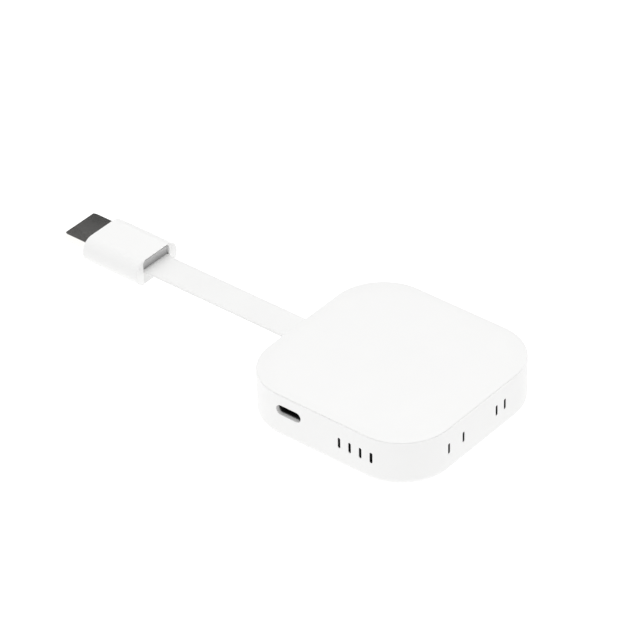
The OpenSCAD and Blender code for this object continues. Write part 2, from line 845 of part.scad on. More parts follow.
module lower_heat_spreader() {
    color("silver")
        difference() {
            union() {
                rounded_prism(
                    lower_size, lower_size, spreader_corner,
                    floor_thickness, lower_plate_top
                );
                on_board(processor_x, 0)
                    board_block(
                        pedestal_size, pedestal_size,
                        floor_thickness + spreader_thickness / 2, lower_pad_bottom
                    );
            }
            at_stakes(lower_size, lower_size)
                cylinder(h = lower_plate_top + overrun, r = stake_radius + fit_gap / 2);
        }
}

module main_board() {
    peg_y = clamp_width / 2 - peg_inset;
    color("darkgreen")
        difference() {
            rounded_prism(board_size, board_size, board_radius, board_bottom, board_top);
            at_screws()
                translate([0, 0, board_bottom - overrun])
                    cylinder(h = board_thickness + 2 * overrun, r = screw_radius + screw_board_gap);
            for (side = [-1, 1])
                translate([clamp_inner - peg_inset, side * peg_y, board_bottom - overrun])
                    cylinder(h = board_thickness + 2 * overrun, r = peg_radius + fit_gap / 2);
            for (side = [-1, 1], y = usb_tab_spots)
                translate([usb_x + side * (usb_shell_width - usb_shell_wall) / 2, y, 0])
                    block(
                        usb_shell_wall + usb_tab_slot, usb_tab_width + usb_tab_slot,
                        board_bottom - overrun, board_top + overrun
                    );
        }
}

module board_screws() {
    color("dimgray")
        at_screws()
            translate([0, 0, board_top]) {
                difference() {
                    cylinder(h = screw_head_height, r = screw_head_radius);
                    for (turn = [0, 90])
                        rotate([0, 0, turn])
                            block(
                                2 * screw_radius, screw_cross_width,
                                screw_head_height - screw_cross_depth,
                                screw_head_height + overrun
                            );
                }
                translate([0, 0, -screw_length + screw_point])
                    cylinder(h = screw_length, r = screw_radius);
                translate([0, 0, -screw_length])
                    cylinder(h = screw_point, r1 = screw_radius / 4, r2 = screw_radius);
            }
}

module processor() {
    color("black")
        on_board(processor_x, 0) {
            board_block(processor_size, processor_size, board_top, board_top + processor_base);
            board_block(
                processor_cap_size, processor_cap_size,
                board_top + processor_base / 2, board_top + processor_height
            );
        }
}

module memory_chips() {
    color("black")
        for (side = [-1, 1])
            on_board(memory_x, side * memory_y)
                board_block(memory_width, memory_length, board_top, board_top + memory_height);
}

module flash_chip() {
    color("black")
        on_board(fence_x, flash_y)
            board_block(flash_width, flash_length, board_top, board_top + flash_height);
}

module power_chip() {
    color("black")
        on_board(wireless_x, power_chip_y)
            board_block(power_chip_size, power_chip_size, board_top, board_top + power_chip_height);
}

module power_inductors() {
    row = (inductor_count - 1) * inductor_pitch;
    color("dimgray")
        for (part = [0:inductor_count - 1])
            on_board(wireless_x - row / 2 + part * inductor_pitch, inductor_y)
                difference() {
                    board_block(inductor_size, inductor_size, board_top, board_top + inductor_height);
                    for (side = [-1, 1])
                        on_board(side * inductor_size / 2, 0)
                            board_block(
                                inductor_size * inductor_notch_share, inductor_size / 2,
                                board_top - overrun, board_top + inductor_height / 4
                            );
                }
}

// One ceramic capacitor along Y, its metal ends a little proud of its body
module ceramic_part() {
    body_width = ceramic_width * ceramic_body_share;
    board_block(body_width, ceramic_length, board_top, board_top + ceramic_height * ceramic_body_share);
    for (side = [-1, 1])
        on_board(0, side * (ceramic_length - ceramic_cap) / 2)
            board_block(ceramic_width, ceramic_cap, board_top, board_top + ceramic_height);
}

module ceramic_capacitors() {
    row = (ceramic_row - 1) * ceramic_pitch;
    column = (ceramic_column - 1) * ceramic_pitch;
    color("tan") {
        for (part = [0:ceramic_row - 1])
            on_board(fence_x - row / 2 + part * ceramic_pitch, ceramic_row_y)
                ceramic_part();
        for (part = [0:ceramic_column - 1])
            on_board(ceramic_column_x, -column / 2 + part * ceramic_pitch)
                rotate([0, 0, 90])
                    ceramic_part();
    }
}

module tantalum_capacitors() {
    color("goldenrod")
        for (part = [0, 1])
            translate([tantalum_x + part * (tantalum_width + chip_gap), tantalum_y, 0])
                block(tantalum_width, tantalum_length, board_top, board_top + tantalum_height);
}

module crystal() {
    color("silver")
        on_board(crystal_x, crystal_y)
            board_block(crystal_width, crystal_length, board_top, board_top + crystal_height);
}

module surge_chip() {
    color("black")
        translate([usb_x, surge_y, 0])
            block(surge_size, surge_size, board_top, board_top + surge_height);
}

module wireless_module() {
    color("darkgreen")
        on_board(wireless_x, wireless_offset)
            board_block(wireless_size, wireless_size, board_top, board_top + wireless_board);
}

module wireless_can() {
    can_size = wireless_size - 2 * wireless_border;
    can_bottom = board_top + wireless_board;
    can_top = can_bottom + wireless_can_height;
    color("silver")
        on_board(wireless_x, wireless_offset)
            difference() {
                board_block(can_size, can_size, can_bottom, can_top);
                board_block(
                    can_size - 2 * shield_lid_sheet, can_size - 2 * shield_lid_sheet,
                    can_bottom - overrun, can_top - shield_lid_sheet
                );
            }
}

// One stamped antenna with its strip, its edge fold and its two legs
module antenna_part() {
    strip_low = board_top + antenna_height - antenna_sheet;
    length = antenna_length * layout;
    width = antenna_width * layout;
    translate([0, 0, strip_low])
        cube([length, width, antenna_sheet]);
    for (leg = [0, antenna_leg_spacing])
        translate([leg, 0, board_top])
            cube([antenna_leg, antenna_sheet, antenna_height - antenna_sheet / 2]);
    translate([length - antenna_sheet, 0, strip_low - antenna_fold])
        cube([antenna_sheet, width, antenna_fold + antenna_sheet / 2]);
}

module antennas() {
    color("silver")
        for (side = [0, 1])
            mirror([side, 0, 0])
                translate([antenna_offset * layout, antenna_y, 0])
                    antenna_part();
}

module shield_fence() {
    color("silver")
        on_board(fence_x, 0)
            difference() {
                board_block(fence_width, fence_length, board_top, fence_top);
                board_block(
                    fence_width - 2 * fence_sheet, fence_length - 2 * fence_sheet,
                    board_top - overrun, fence_top - fence_sheet
                );
                board_block(
                    fence_width - 2 * fence_flange, fence_length - 2 * fence_flange,
                    board_top - overrun, fence_top + overrun
                );
            }
}

module shield_lid() {
    grow = 2 * (shield_lid_gap + shield_lid_sheet);
    color("silver")
        on_board(fence_x, 0)
            difference() {
                board_block(
                    fence_width + grow, fence_length + grow,
                    shield_lid_top - shield_lid_depth, shield_lid_top
                );
                board_block(
                    fence_width + 2 * shield_lid_gap, fence_length + 2 * shield_lid_gap,
                    board_top - overrun, fence_top
                );
            }
}

module processor_pad() {
    color("lightblue")
        on_board(processor_x, 0)
            board_block(
                processor_cap_size, processor_cap_size,
                board_top + processor_height, fence_top
            );
}

module upper_pad() {
    color("lightblue")
        on_board(processor_x, 0)
            board_block(pad_size, pad_size, shield_lid_top, upper_pad_top);
}

module lower_pad() {
    color("lightblue")
        on_board(processor_x, 0)
            board_block(pad_size, pad_size, lower_pad_bottom, board_bottom);
}

module usb_shell() {
    color("silver") {
        at_usb()
            along_y(usb_front, usb_rear)
                difference() {
                    stadium(usb_shell_width, usb_shell_height);
                    stadium(usb_inner_width, usb_inner_height);
                }
        for (side = [-1, 1], y = usb_tab_spots)
            translate([usb_x + side * (usb_shell_width - usb_shell_wall) / 2, y, 0])
                block(
                    usb_shell_wall, usb_tab_width,
                    board_bottom - usb_tab_stickout, usb_axis
                );
    }
}

module usb_insulator() {
    color("black")
        at_usb() {
            along_y(usb_block_front, usb_rear)
                stadium(usb_inner_width - fit_gap / 2, usb_inner_height - fit_gap / 2);
            along_y(usb_tongue_tip, usb_block_front + usb_block_depth / 2)
                square([usb_tongue_width, usb_tongue_thickness], center = true);
        }
}

module usb_contacts() {
    row = (usb_contact_count - 1) * usb_contact_pitch;
    surface = usb_tongue_thickness / 2;
    contact_rear = usb_block_front;
    color("gold")
        for (part = [0:usb_contact_count - 1])
            translate([usb_x - row / 2 + part * usb_contact_pitch, 0, 0]) {
                translate([0, contact_rear - usb_contact_length / 2, usb_axis]) {
                    block(
                        usb_contact_width, usb_contact_length,
                        surface, surface + usb_contact_thickness
                    );
                    block(
                        usb_contact_width, usb_contact_length,
                        -surface - usb_contact_thickness, -surface
                    );
                }
                translate([0, usb_rear + usb_solder_length / 2, board_top])
                    block(usb_contact_width, usb_solder_length, 0, usb_solder_thickness);
            }
}

module reset_switch() {
    bore_radius = plunger_radius + plunger_gap;
    color("dimgray")
        translate([reset_x, reset_y, 0])
            difference() {
                block(switch_size, switch_size, switch_bottom, board_bottom);
                translate([0, 0, switch_bottom - overrun])
                    cylinder(h = overrun + plunger_depth + 2 * plunger_travel, r = bore_radius);
            }
}

module reset_plunger() {
    color("black")
        translate([reset_x, reset_y, plunger_bottom])
            cylinder(h = plunger_stickout + plunger_depth, r = plunger_radius);
}

module tail_section() {
    translate([0, connector_axis])
        rounded_rectangle(tail_width, tail_thickness, tail_edge);
}

module ribbon_section(width, height) {
    translate([0, connector_axis])
        square([width, height], center = true);
}

module tail_clamp() {
    peg_y = clamp_width / 2 - peg_inset;
    clamp_top = skirt_bottom - clamp_gap;
    color("white") {
        difference() {
            along_x(tail_start, clamp_inner)
                translate([-clamp_width / 2, board_top])
                    square([clamp_width, clamp_top - board_top]);
            along_x(tail_start - overrun, clamp_inner + overrun)
                ribbon_section(ribbon_slot_width, ribbon_slot_height);
        }
        for (side = [-1, 1])
            translate([clamp_inner - peg_inset, side * peg_y, board_bottom])
                cylinder(h = board_thickness + peg_radius, r = peg_radius);
    }
}

// A wire's straight start, its slope to the pad and its soldered foot
module wire_end(direction, x_start, z_start, z_foot) {
    x_slope = x_start + direction * wire_start;
    x_foot = x_slope + direction * wire_drop;
    x_end = x_foot + direction * wire_foot;
    half = wire_thickness / 2;
    along_y(-wire_width / 2, wire_width / 2)
        polygon([
            [x_start, z_start + half],
            [x_slope, z_start + half],
            [x_foot, z_foot + half],
            [x_end, z_foot + half],
            [x_end, z_foot - half],
            [x_foot, z_foot - half],
            [x_slope, z_start - half],
            [x_start, z_start - half]
        ]);
}

module tail_wire_ends() {
    row = (wire_count - 1) * wire_pitch;
    color("peru")
        for (part = [0:wire_count - 1])
            translate([0, -row / 2 + part * wire_pitch, 0])
                wire_end(1, clamp_inner, connector_axis, board_top + wire_thickness / 2);
}

module tail_jacket(x_low, x_high) {
    along_x(x_low, x_high)
        difference() {
            tail_section();
            ribbon_section(ribbon_slot_width, ribbon_slot_height);
        }
}

module tail_jacket_near() {
    color("white")
        tail_jacket(tail_bend_start, tail_start);
}

module tail_jacket_middle() {
    color("white")
        tail_jacket(tail_bend_end, tail_bend_start);
}

module tail_jacket_far() {
    flare_start = mould_rear + flare_length;
    color("white")
        difference() {
            union() {
                along_x(tail_end, tail_bend_end)
                    tail_section();
                translate([0, 0, connector_axis - flare_thickness / 2])
                    linear_extrude(flare_thickness)
                        difference() {
                            translate([tail_end, -tail_width / 2 - flare_width])
                                square([flare_start - tail_end, tail_width + 2 * flare_width]);
                            for (side = [-1, 1])
                                translate([flare_start, side * (tail_width / 2 + flare_radius)])
                                    circle(flare_radius, $fn = 360);
                        }
            }
            along_x(tail_end - overrun, tail_bend_end + overrun)
                ribbon_section(ribbon_slot_width, ribbon_slot_height);
        }
}

module tail_ribbon(x_low, x_high) {
    along_x(x_low, x_high)
        ribbon_section(ribbon_width, ribbon_thickness);
}

module tail_ribbon_near() {
    color("peru")
        tail_ribbon(tail_bend_start, ribbon_start);
}

module tail_ribbon_middle() {
    color("peru")
        tail_ribbon(tail_bend_end, tail_bend_start);
}

module tail_ribbon_far() {
    color("peru")
        tail_ribbon(anchor_front, tail_bend_end);
}

module tail_anchor() {
    color("white")
        difference() {
            along_x(anchor_front, tail_end)
                ribbon_section(anchor_width, anchor_height);
            along_x(anchor_front - overrun, tail_end + overrun)
                ribbon_section(ribbon_slot_width, ribbon_slot_height);
        }
}

module plug_sleeve() {
    upper_height = recess_top - recess_bottom;
    color("white")
        difference() {
            along_x(sleeve_front, sleeve_rear)
                translate([0, connector_axis])
                    stadium(sleeve_width, sleeve_height);
            along_x(sleeve_front - overrun, mould_rear)
                translate([0, connector_axis])
                    stadium(cavity_oval_width, cavity_oval_height);
            along_x(mould_rear - overrun / 4, sleeve_rear + overrun)
                translate([0, recess_bottom + upper_height / 2]) {
                    rounded_rectangle(recess_width, upper_height, recess_corner);
                    translate([-recess_width / 2, -upper_height / 2])
                        square([recess_width, upper_height / 2]);
                }
            along_x(sleeve_rear - step_depth, sleeve_rear + overrun)
                translate([-recess_width / 2, connector_axis - sleeve_height])
                    square([recess_width, sleeve_height]);
        }
}

// Outline of the plug's metal shell, drawn in by a wall on every side
module shell_profile(inset) {
    half = shell_width / 2;
    slope = sqrt(shell_bevel_width * shell_bevel_width + shell_bevel_height * shell_bevel_height);
    side_shift = inset * (slope - shell_bevel_height) / shell_bevel_width;
    base_shift = inset * (slope - shell_bevel_width) / shell_bevel_height;
    bottom = connector_axis - shell_height / 2;
    top = connector_axis + shell_height / 2;
    side_low = bottom + shell_bevel_height + side_shift;
    base_half = half - shell_bevel_width - base_shift;
    polygon([
        [-base_half, bottom + inset],
        [base_half, bottom + inset],
        [half - inset, side_low],
        [half - inset, top - inset],
        [-half + inset, top - inset],
        [-half + inset, side_low]
    ]);
}

// Solid inside the shell's outline, with the tip's tapered sides
module shell_body(inset, x_low, x_high) {
    half = shell_width / 2 - inset;
    difference() {
        along_x(x_low, x_high)
            shell_profile(inset);
        for (side = [0, 1])
            mirror([0, side, 0])
                translate([0, 0, connector_axis - shell_height])
                    linear_extrude(2 * shell_height)
                        polygon([
                            [shell_tip - overrun, half + overrun],
                            [shell_tip - overrun, half - tip_narrowing],
                            [shell_tip, half - tip_narrowing],
                            [shell_tip + tip_length, half],
                            [shell_tip + tip_length, half + overrun]
                        ]);
    }
}

module plug_shell() {
    color("dimgray")
        difference() {
            shell_body(0, shell_tip, shell_rear);
            shell_body(shell_sheet, shell_tip - overrun, shell_rear + overrun);
            for (side = [-1, 1])
                translate([
                    shell_tip + window_setback + window_length / 2,
                    side * window_spacing / 2,
                    connector_axis - shell_height / 2
                ])
                    block(window_length, window_width, -overrun, 2 * shell_sheet);
        }
}

module plug_insulator() {
    gap = shell_sheet + fit_gap / 2;
    front = shell_tip + insulator_setback;
    color("black")
        difference() {
            shell_body(gap, front, shell_rear);
            along_x(shell_tip - overrun, front + mouth_depth)
                ribbon_section(mouth_width, mouth_height);
        }
}

// One row of contacts, on the slot's upper or lower face, with its tails
module contact_row(level, count) {
    row = (count - 1) * contact_pitch;
    slot_rear = shell_tip + insulator_setback + mouth_depth;
    tail_z = level * (paddle_thickness + contact_thickness) / 2;
    slot_z = level * (mouth_height - contact_thickness) / 2;
    for (part = [0:count - 1])
        translate([0, -row / 2 + part * contact_pitch, connector_axis]) {
            translate([slot_rear - contact_length / 2, 0, slot_z - contact_thickness / 2])
                block(contact_length, contact_width, 0, contact_thickness);
            translate([shell_rear + contact_tail / 2, 0, tail_z - contact_thickness / 2])
                block(contact_tail, contact_width, 0, contact_thickness);
        }
}

module plug_contacts() {
    color("gold") {
        contact_row(1, contact_count);
        contact_row(-1, contact_count - 1);
    }
}

module plug_board() {
    color("darkgreen")
        along_x(shell_rear, paddle_rear)
            ribbon_section(paddle_width, paddle_thickness);
}

module plug_rear_shield() {
    color("silver")
        along_x(shell_rear, can_rear)
            difference() {
                ribbon_section(can_width, can_height);
                ribbon_section(can_width - 2 * can_sheet, can_height - 2 * can_sheet);
            }
}

module plug_wire_ends() {
    row = (wire_count - 1) * wire_pitch;
    surface = (paddle_thickness + wire_thickness) / 2;
    color("peru")
        for (part = [0:wire_count - 1])
            translate([0, -row / 2 + part * wire_pitch, 0])
                wire_end(
                    -1, anchor_front, connector_axis,
                    connector_axis + (part % 2 == 0 ? surface : -surface)
                );
}

// Inner moulding that fills the sleeve round the shell, the board and the anchor
module plug_mould() {
    color("gray")
        difference() {
            along_x(sleeve_front, mould_rear)
                translate([0, connector_axis])
                    stadium(cavity_oval_width - 2 * fit_gap, cavity_oval_height - 2 * fit_gap);
            along_x(sleeve_front - overrun, shell_rear)
                shell_profile(-fit_gap);
            along_x(shell_rear - fit_gap, can_rear + fit_gap)
                ribbon_section(can_width + 2 * fit_gap, can_height + 2 * fit_gap);
            along_x(anchor_front - fit_gap, tail_end)
                ribbon_section(anchor_width + 2 * fit_gap, anchor_height + 2 * fit_gap);
            along_x(tail_end - fit_gap, mould_rear + overrun)
                ribbon_section(
                    tail_width + 2 * flare_width + 2 * mould_tail_gap,
                    tail_thickness + 2 * mould_tail_gap
                );
        }
}

base_case();
top_cover();
upper_heat_spreader();
lower_heat_spreader();
main_board();
board_screws();
processor();
memory_chips();
flash_chip();
power_chip();
power_inductors();
ceramic_capacitors();
tantalum_capacitors();
crystal();
surge_chip();
wireless_module();
wireless_can();
antennas();
shield_fence();
shield_lid();
processor_pad();
upper_pad();
lower_pad();
usb_shell();
usb_insulator();
usb_contacts();
reset_switch();
reset_plunger();
tail_clamp();
tail_wire_ends();
tail_jacket_near();
tail_jacket_middle();
tail_jacket_far();
tail_ribbon_near();
tail_ribbon_middle();
tail_ribbon_far();
tail_anchor();
plug_sleeve();
plug_mould();
plug_shell();
plug_insulator();
plug_contacts();
plug_board();
plug_rear_shield();
plug_wire_ends();
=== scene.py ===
import json
import math
import bmesh
import bpy
from mathutils import Matrix, Vector


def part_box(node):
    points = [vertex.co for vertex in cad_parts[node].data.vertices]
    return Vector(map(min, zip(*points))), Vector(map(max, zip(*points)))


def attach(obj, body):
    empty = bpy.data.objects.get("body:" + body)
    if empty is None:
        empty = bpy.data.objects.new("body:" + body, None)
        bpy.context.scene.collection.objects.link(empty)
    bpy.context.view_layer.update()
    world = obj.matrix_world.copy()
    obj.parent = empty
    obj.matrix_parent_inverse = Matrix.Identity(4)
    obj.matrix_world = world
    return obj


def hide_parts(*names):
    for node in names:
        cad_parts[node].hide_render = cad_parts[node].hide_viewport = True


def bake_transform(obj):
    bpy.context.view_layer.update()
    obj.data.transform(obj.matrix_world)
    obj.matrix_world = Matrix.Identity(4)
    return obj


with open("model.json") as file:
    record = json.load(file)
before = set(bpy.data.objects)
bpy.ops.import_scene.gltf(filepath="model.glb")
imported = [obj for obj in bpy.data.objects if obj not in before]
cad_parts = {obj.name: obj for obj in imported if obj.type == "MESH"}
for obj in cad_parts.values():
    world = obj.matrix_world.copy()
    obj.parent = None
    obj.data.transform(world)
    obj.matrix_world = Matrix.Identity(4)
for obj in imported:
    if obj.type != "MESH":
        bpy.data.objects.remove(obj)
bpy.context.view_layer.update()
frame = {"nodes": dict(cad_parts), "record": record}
nodes = frame["nodes"]
MM = 0.001
X, Y, Z = 0, 1, 2


def span(node, axis):
    """Lowest and highest place of a CAD node along an axis, in millimetres."""
    low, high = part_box(node)
    return low[axis] / MM, high[axis] / MM


# Body
HALF = span("base_case", X)[1]
PUCK = 2 * HALF
SEAM = span("base_case", Z)[1]
TOP = span("top_cover", Z)[1]
CORNER = 17.2
FILLET = 2.9
WALL = 1.8
FLOOR = 1.6
FIT = 0.1
SLOT_WIDTH = 1.0
SLOT_HEIGHT = 3.7
SLOT_LEVEL = 8.9
SLOT_SKIN = 0.2
SLOT_GROWTH = 0.03
EDGE = 0.15
OPENING_SOFT = 0.1
FRONT_SLOTS = [6.65, 10.55, 14.45, 18.35]
SIDE_SLOTS = [-16.05, -9.15, 6.8, 10.8]
PINHOLE = (-24.0, 10.0)
PINHOLE_RADIUS = 0.9
GUIDE_RADIUS = 1.9
GUIDE_TOP = 4.2
BOSS_RADIUS = 2.6
BOSS_SPOT = 22.5
SCREW_RADIUS = 1.03
STAKE_RADIUS = 1.1
STAKE_LENGTH = 1.5
STAKE_HEAD_RADIUS = 1.9
STAKE_HEAD = 0.5
STAKE_INSET = 4.0

# Cover
CROWN_RISE = 0.35
RIM = TOP - CROWN_RISE
CROWN_RADIUS = (HALF ** 2 + CROWN_RISE ** 2) / (2 * CROWN_RISE)
CROWN_CENTRE = TOP - CROWN_RADIUS
COVER_INSET = 0.25
COVER_ROUND = 0.12
COVER_UNDER = RIM - 1.4
GROOVE = 0.02
GROOVE_EDGE = 0.03
GROOVE_DEPTH = 0.2
SKIRT_EDGE = 0.2
SKIRT = 1.0
SKIRT_BOTTOM = 12.75
HOOK_WIDTH = 5.0
HOOK_REACH = 3.8
HOOK_CATCH = 0.4
HOOK_CATCH_HEIGHT = 1.2
HOOK_SPOTS = [(0, -1.34), (90, 12.06), (90, -12.06), (180, 13.065), (180, -13.065), (270, -0.5)]

# Socket
USB_X = sum(span("usb_shell", X)) / 2
USB_INSULATOR_HALF = 1.3
USB_Z = span("usb_insulator", Z)[0] + USB_INSULATOR_HALF
USB_OPENING = (9.22, 3.48)

# Tail
AXIS = sum(span("tail_jacket_middle", Z)) / 2
TAIL_WIDTH = 2 * span("tail_jacket_middle", Y)[1]
TAIL_THICKNESS = span("tail_jacket_middle", Z)[1] - span("tail_jacket_middle", Z)[0]
TAIL_EDGE = 0.4
TAIL_START = span("tail_jacket_near", X)[1]
TAIL_EXIT = -HALF
BEND_START, BEND_END = reversed(span("tail_jacket_middle", X))
TAIL_END = span("tail_jacket_far", X)[0]
TAIL_STILL = 1.0
TAIL_SLOT = (11.8, 1.55)
BEND_TUCK = 0.9
JACKET_STEP = 0.45
RIBBON = (9.6, 0.3)
RIBBON_STEPS = 36
WIRES = 19
WIRE_POINTS = 4
WIRE_DIP = 0.03
FLARE_WIDTH = 0.42
FLARE_LENGTH = 6.0

# Plug
SLEEVE_FRONT, SLEEVE_REAR = span("plug_sleeve", X)
SLEEVE_WIDTH = 2 * span("plug_sleeve", Y)[1]
SLEEVE_HEIGHT = span("plug_sleeve", Z)[1] - span("plug_sleeve", Z)[0]
SLEEVE_WALL = 1.1
SLEEVE_REAR_EDGE = 0.22
SLEEVE_FRONT_EDGE = 0.4
SLEEVE_SOFT = 0.08
RECESS_DEPTH = 0.7
RECESS_HALF = 6.1
RECESS_TOP_WALL = 0.2
RECESS_CORNER = 1.2
RECESS_GAP = 0.15
STEP_DEPTH = 0.45
MOULD = SLEEVE_REAR - RECESS_DEPTH
TIP, SHELL_REAR = span("plug_shell", X)
SHELL_HALF = span("plug_shell", Y)[1]
SHELL_LOW, SHELL_HIGH = span("plug_shell", Z)
SHELL_SHEET = 0.35
SHELL_ROUND = 0.16
SHELL_INNER_ROUND = 0.08
BEVEL_WIDTH, BEVEL_HEIGHT = 1.6, 1.8
TIP_LENGTH, TIP_NARROWING = 1.1, 0.4
SHELL_LIP = 0.06
WINDOW_WIDTH, WINDOW_LENGTH = 1.6, 1.9
WINDOW_SPACING, WINDOW_SETBACK = 5.4, 5.0


# Meshes
MERGE_DISTANCE = 1e-8
NOT_QUITE_ROUND = 0.001
SMOOTH_BELOW = 35
SHELL_SMOOTH_BELOW = 40
CURVED_SMOOTH_BELOW = 50
TAIL_SMOOTH_BELOW = 60
BEVEL_ABOVE = 40
BEVEL_SEGMENTS = 2
CORNER_ARC = 28
FILLET_STEPS = 12
EDGE_STEPS = 4
TUBE_STEPS = 3
DOME_STEPS = 5
STAKE_SIDES = 24
CROWN_RINGS = 12
COVER_STEPS = 5
RECESS_STEPS = 6
SHELL_ROUND_STEPS = 6


def mesh_object(name, verts, faces, angle=SMOOTH_BELOW):
    """A mesh from places in millimetres, smooth except at edges that turn by more than the angle."""
    me = bpy.data.meshes.new(name)
    me.from_pydata([tuple(c * MM for c in v) for v in verts], [], faces)
    me.validate()
    bm = bmesh.new()
    bm.from_mesh(me)
    bmesh.ops.remove_doubles(bm, verts=bm.verts, dist=MERGE_DISTANCE)
    bmesh.ops.recalc_face_normals(bm, faces=bm.faces)
    bm.to_mesh(me)
    bm.free()
    ob = bpy.data.objects.new(name, me)
    bpy.context.scene.collection.objects.link(ob)
    shade(ob, angle)
    return ob


def shade(ob, angle=SMOOTH_BELOW):
    """Smooth shading, except at edges that turn by more than the angle."""
    ob.data.polygons.foreach_set("use_smooth", [True] * len(ob.data.polygons))
    ob.data.set_sharp_from_angle(angle=math.radians(angle))
    ob.data.update()


def loft(name, rings, angle=SMOOTH_BELOW, ends=True):
    """Skin over rings that have the same number of points."""
    count = len(rings[0])
    verts = [point for ring in rings for point in ring]
    faces = []
    for low in range(0, len(verts) - count, count):
        for i in range(count):
            j = (i + 1) % count
            faces.append((low + i, low + j, low + count + j, low + count + i))
    if ends:
        faces.append(tuple(range(count - 1, -1, -1)))
        faces.append(tuple(range(len(verts) - count, len(verts))))
    return mesh_object(name, verts, faces, angle)


def quarter(steps):
    """Angles from 0 to a right angle."""
    return [math.pi / 2 * k / steps for k in range(steps + 1)]


def rounded_path(width, height, radius, arc=16, straight=1):
    """Points round a rectangle with round corners, anticlockwise."""
    corners = []
    for turn, (side, level) in enumerate([(1, 1), (-1, 1), (-1, -1), (1, -1)]):
        middle = (side * (width / 2 - radius), level * (height / 2 - radius))
        for a in quarter(arc):
            a += turn * math.pi / 2
            corners.append((middle[0] + radius * math.cos(a), middle[1] + radius * math.sin(a)))
    path = []
    for i, here in enumerate(corners):
        path.append(here)
        if i % (arc + 1) == arc:
            there = corners[(i + 1) % len(corners)]
            for t in range(1, straight):
                path.append(tuple(a + (b - a) * t / straight for a, b in zip(here, there)))
    return path


def stadium(width, height, arc=12):
    """Path with round ends."""
    return rounded_path(width, height, min(width, height) / 2 - NOT_QUITE_ROUND, arc)


def disc(radius, count=32):
    """Points round a circle."""
    return [(radius * math.cos(2 * math.pi * k / count), radius * math.sin(2 * math.pi * k / count))
            for k in range(count)]


def shift(path, across, up):
    """Moves a path in its plane."""
    return [(a + across, b + up) for a, b in path]


def along_x(name, path, start, end):
    return loft(name, [[(x, y, z) for y, z in path] for x in (start, end)])


def along_y(name, path, start, end):
    return loft(name, [[(x, y, z) for x, z in path] for y in (start, end)])


def along_z(name, path, start, end):
    return loft(name, [[(x, y, z) for x, y in path] for z in (start, end)])


def settle(ob):
    """Puts the object's modifiers into its mesh."""
    bpy.context.view_layer.update()
    shown = ob.evaluated_get(bpy.context.evaluated_depsgraph_get())
    me = bpy.data.meshes.new_from_object(shown)
    old = ob.data
    ob.modifiers.clear()
    ob.data = me
    bpy.data.meshes.remove(old)
    me.name = ob.name


def drop(ob):
    """Deletes an object with its mesh."""
    me = ob.data
    bpy.data.objects.remove(ob)
    bpy.data.meshes.remove(me)


def paint(ob, slot):
    """Gives the whole object one material."""
    ob.data.materials.clear()
    ob.data.materials.append(M[slot])
    return ob


def cut(ob, cutters):
    """Takes the cutters away from the object. The new faces take the cutter's material."""
    for cutter in cutters:
        m = ob.modifiers.new("cut", "BOOLEAN")
        m.operation = "DIFFERENCE"
        m.solver = "EXACT"
        m.material_mode = "TRANSFER"
        m.object = cutter
    settle(ob)
    for cutter in cutters:
        drop(cutter)


def soften(ob, width):
    """Rounds the sharp edges, and keeps the large faces flat to the eye."""
    m = ob.modifiers.new("edge", "BEVEL")
    m.width = width * MM
    m.segments = BEVEL_SEGMENTS
    m.limit_method = "ANGLE"
    m.angle_limit = math.radians(BEVEL_ABOVE)
    settle(ob)
    shade(ob, CURVED_SMOOTH_BELOW)
    m = ob.modifiers.new("flat", "WEIGHTED_NORMAL")
    m.keep_sharp = True
    settle(ob)


def join(name, parts):
    """One object from several of one material."""
    bm = bmesh.new()
    for part in parts:
        bm.from_mesh(part.data)
        drop(part)
    me = bpy.data.meshes.new(name)
    bm.to_mesh(me)
    bm.free()
    ob = bpy.data.objects.new(name, me)
    bpy.context.scene.collection.objects.link(ob)
    shade(ob)
    return ob


def place(ob, slot, body, *stands_for):
    """Puts a piece on a body, as what stands for CAD nodes."""
    if not ob.data.materials:
        paint(ob, slot)
    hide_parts(*stands_for)
    if body:
        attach(ob, body)


# Materials
NOISE_LOW, NOISE_HIGH = 0.3, 0.7
GRAIN_DEPTH, METAL_GRAIN_DEPTH = 0.00002, 0.00001
GLOSS_LOW, GLOSS_HIGH = 0.92, 1.12
DRIFT_SCALE, DRIFT_DETAIL = 90, 2.0
WHITE = (0.86, 0.86, 0.855)
MOULDED = {"grain": 7000, "strength": 0.25}
BOARD_MASK = (0.02, 0.16, 0.07)
BOARD_TONES = {
    "Color1": (0.018, 0.15, 0.065),
    "Color2": (0.022, 0.17, 0.075),
    "Mortar": (0.05, 0.27, 0.12),
}
TRACK_SCALE, TRACK_WIDTH = 260, 0.012
BOARD_GRAIN, BOARD_RELIEF = 3000, 0.15
# Tones of the grey moulding: its own grey, the darker tone painted at its bottom as shade in the crease
# beside the tail, and the tone of its top. Then the shares of its height where the painted shade ends and
# where the top tone begins.
MOULD_TONE, MOULD_PAINTED_SHADE, MOULD_LIGHT = [(tone, tone, tone) for tone in (0.48, 0.25, 0.56)]
MOULD_PAINTED_SHADE_TO, MOULD_LIGHT_FROM = 0.56, 0.95


def surface(name, colour, rough, metal=0.0, gloss=0.5):
    m = bpy.data.materials.new(name)
    m.use_nodes = True
    shader = m.node_tree.nodes["Principled BSDF"]
    shader.inputs["Base Color"].default_value = (*colour, 1)
    shader.inputs["Roughness"].default_value = rough
    shader.inputs["Metallic"].default_value = metal
    shader.inputs["Specular IOR Level"].default_value = gloss
    return m


def node(m, kind, **inputs):
    made = m.node_tree.nodes.new(kind)
    for name, value in inputs.items():
        made.inputs[name.replace("_", " ")].default_value = value
    return made


def link(m, output, to):
    m.node_tree.links.new(output, to)


def place_on(m, stretch=(1, 1, 1)):
    """The object's own places, stretched."""
    where = node(m, "ShaderNodeTexCoord")
    stretched = node(m, "ShaderNodeMapping", Scale=stretch)
    link(m, where.outputs["Object"], stretched.inputs["Vector"])
    return stretched.outputs["Vector"]


def noise(m, where, scale, detail=3.0):
    made = node(m, "ShaderNodeTexNoise", Scale=scale, Detail=detail)
    link(m, where, made.inputs["Vector"])
    return made.outputs["Fac"]


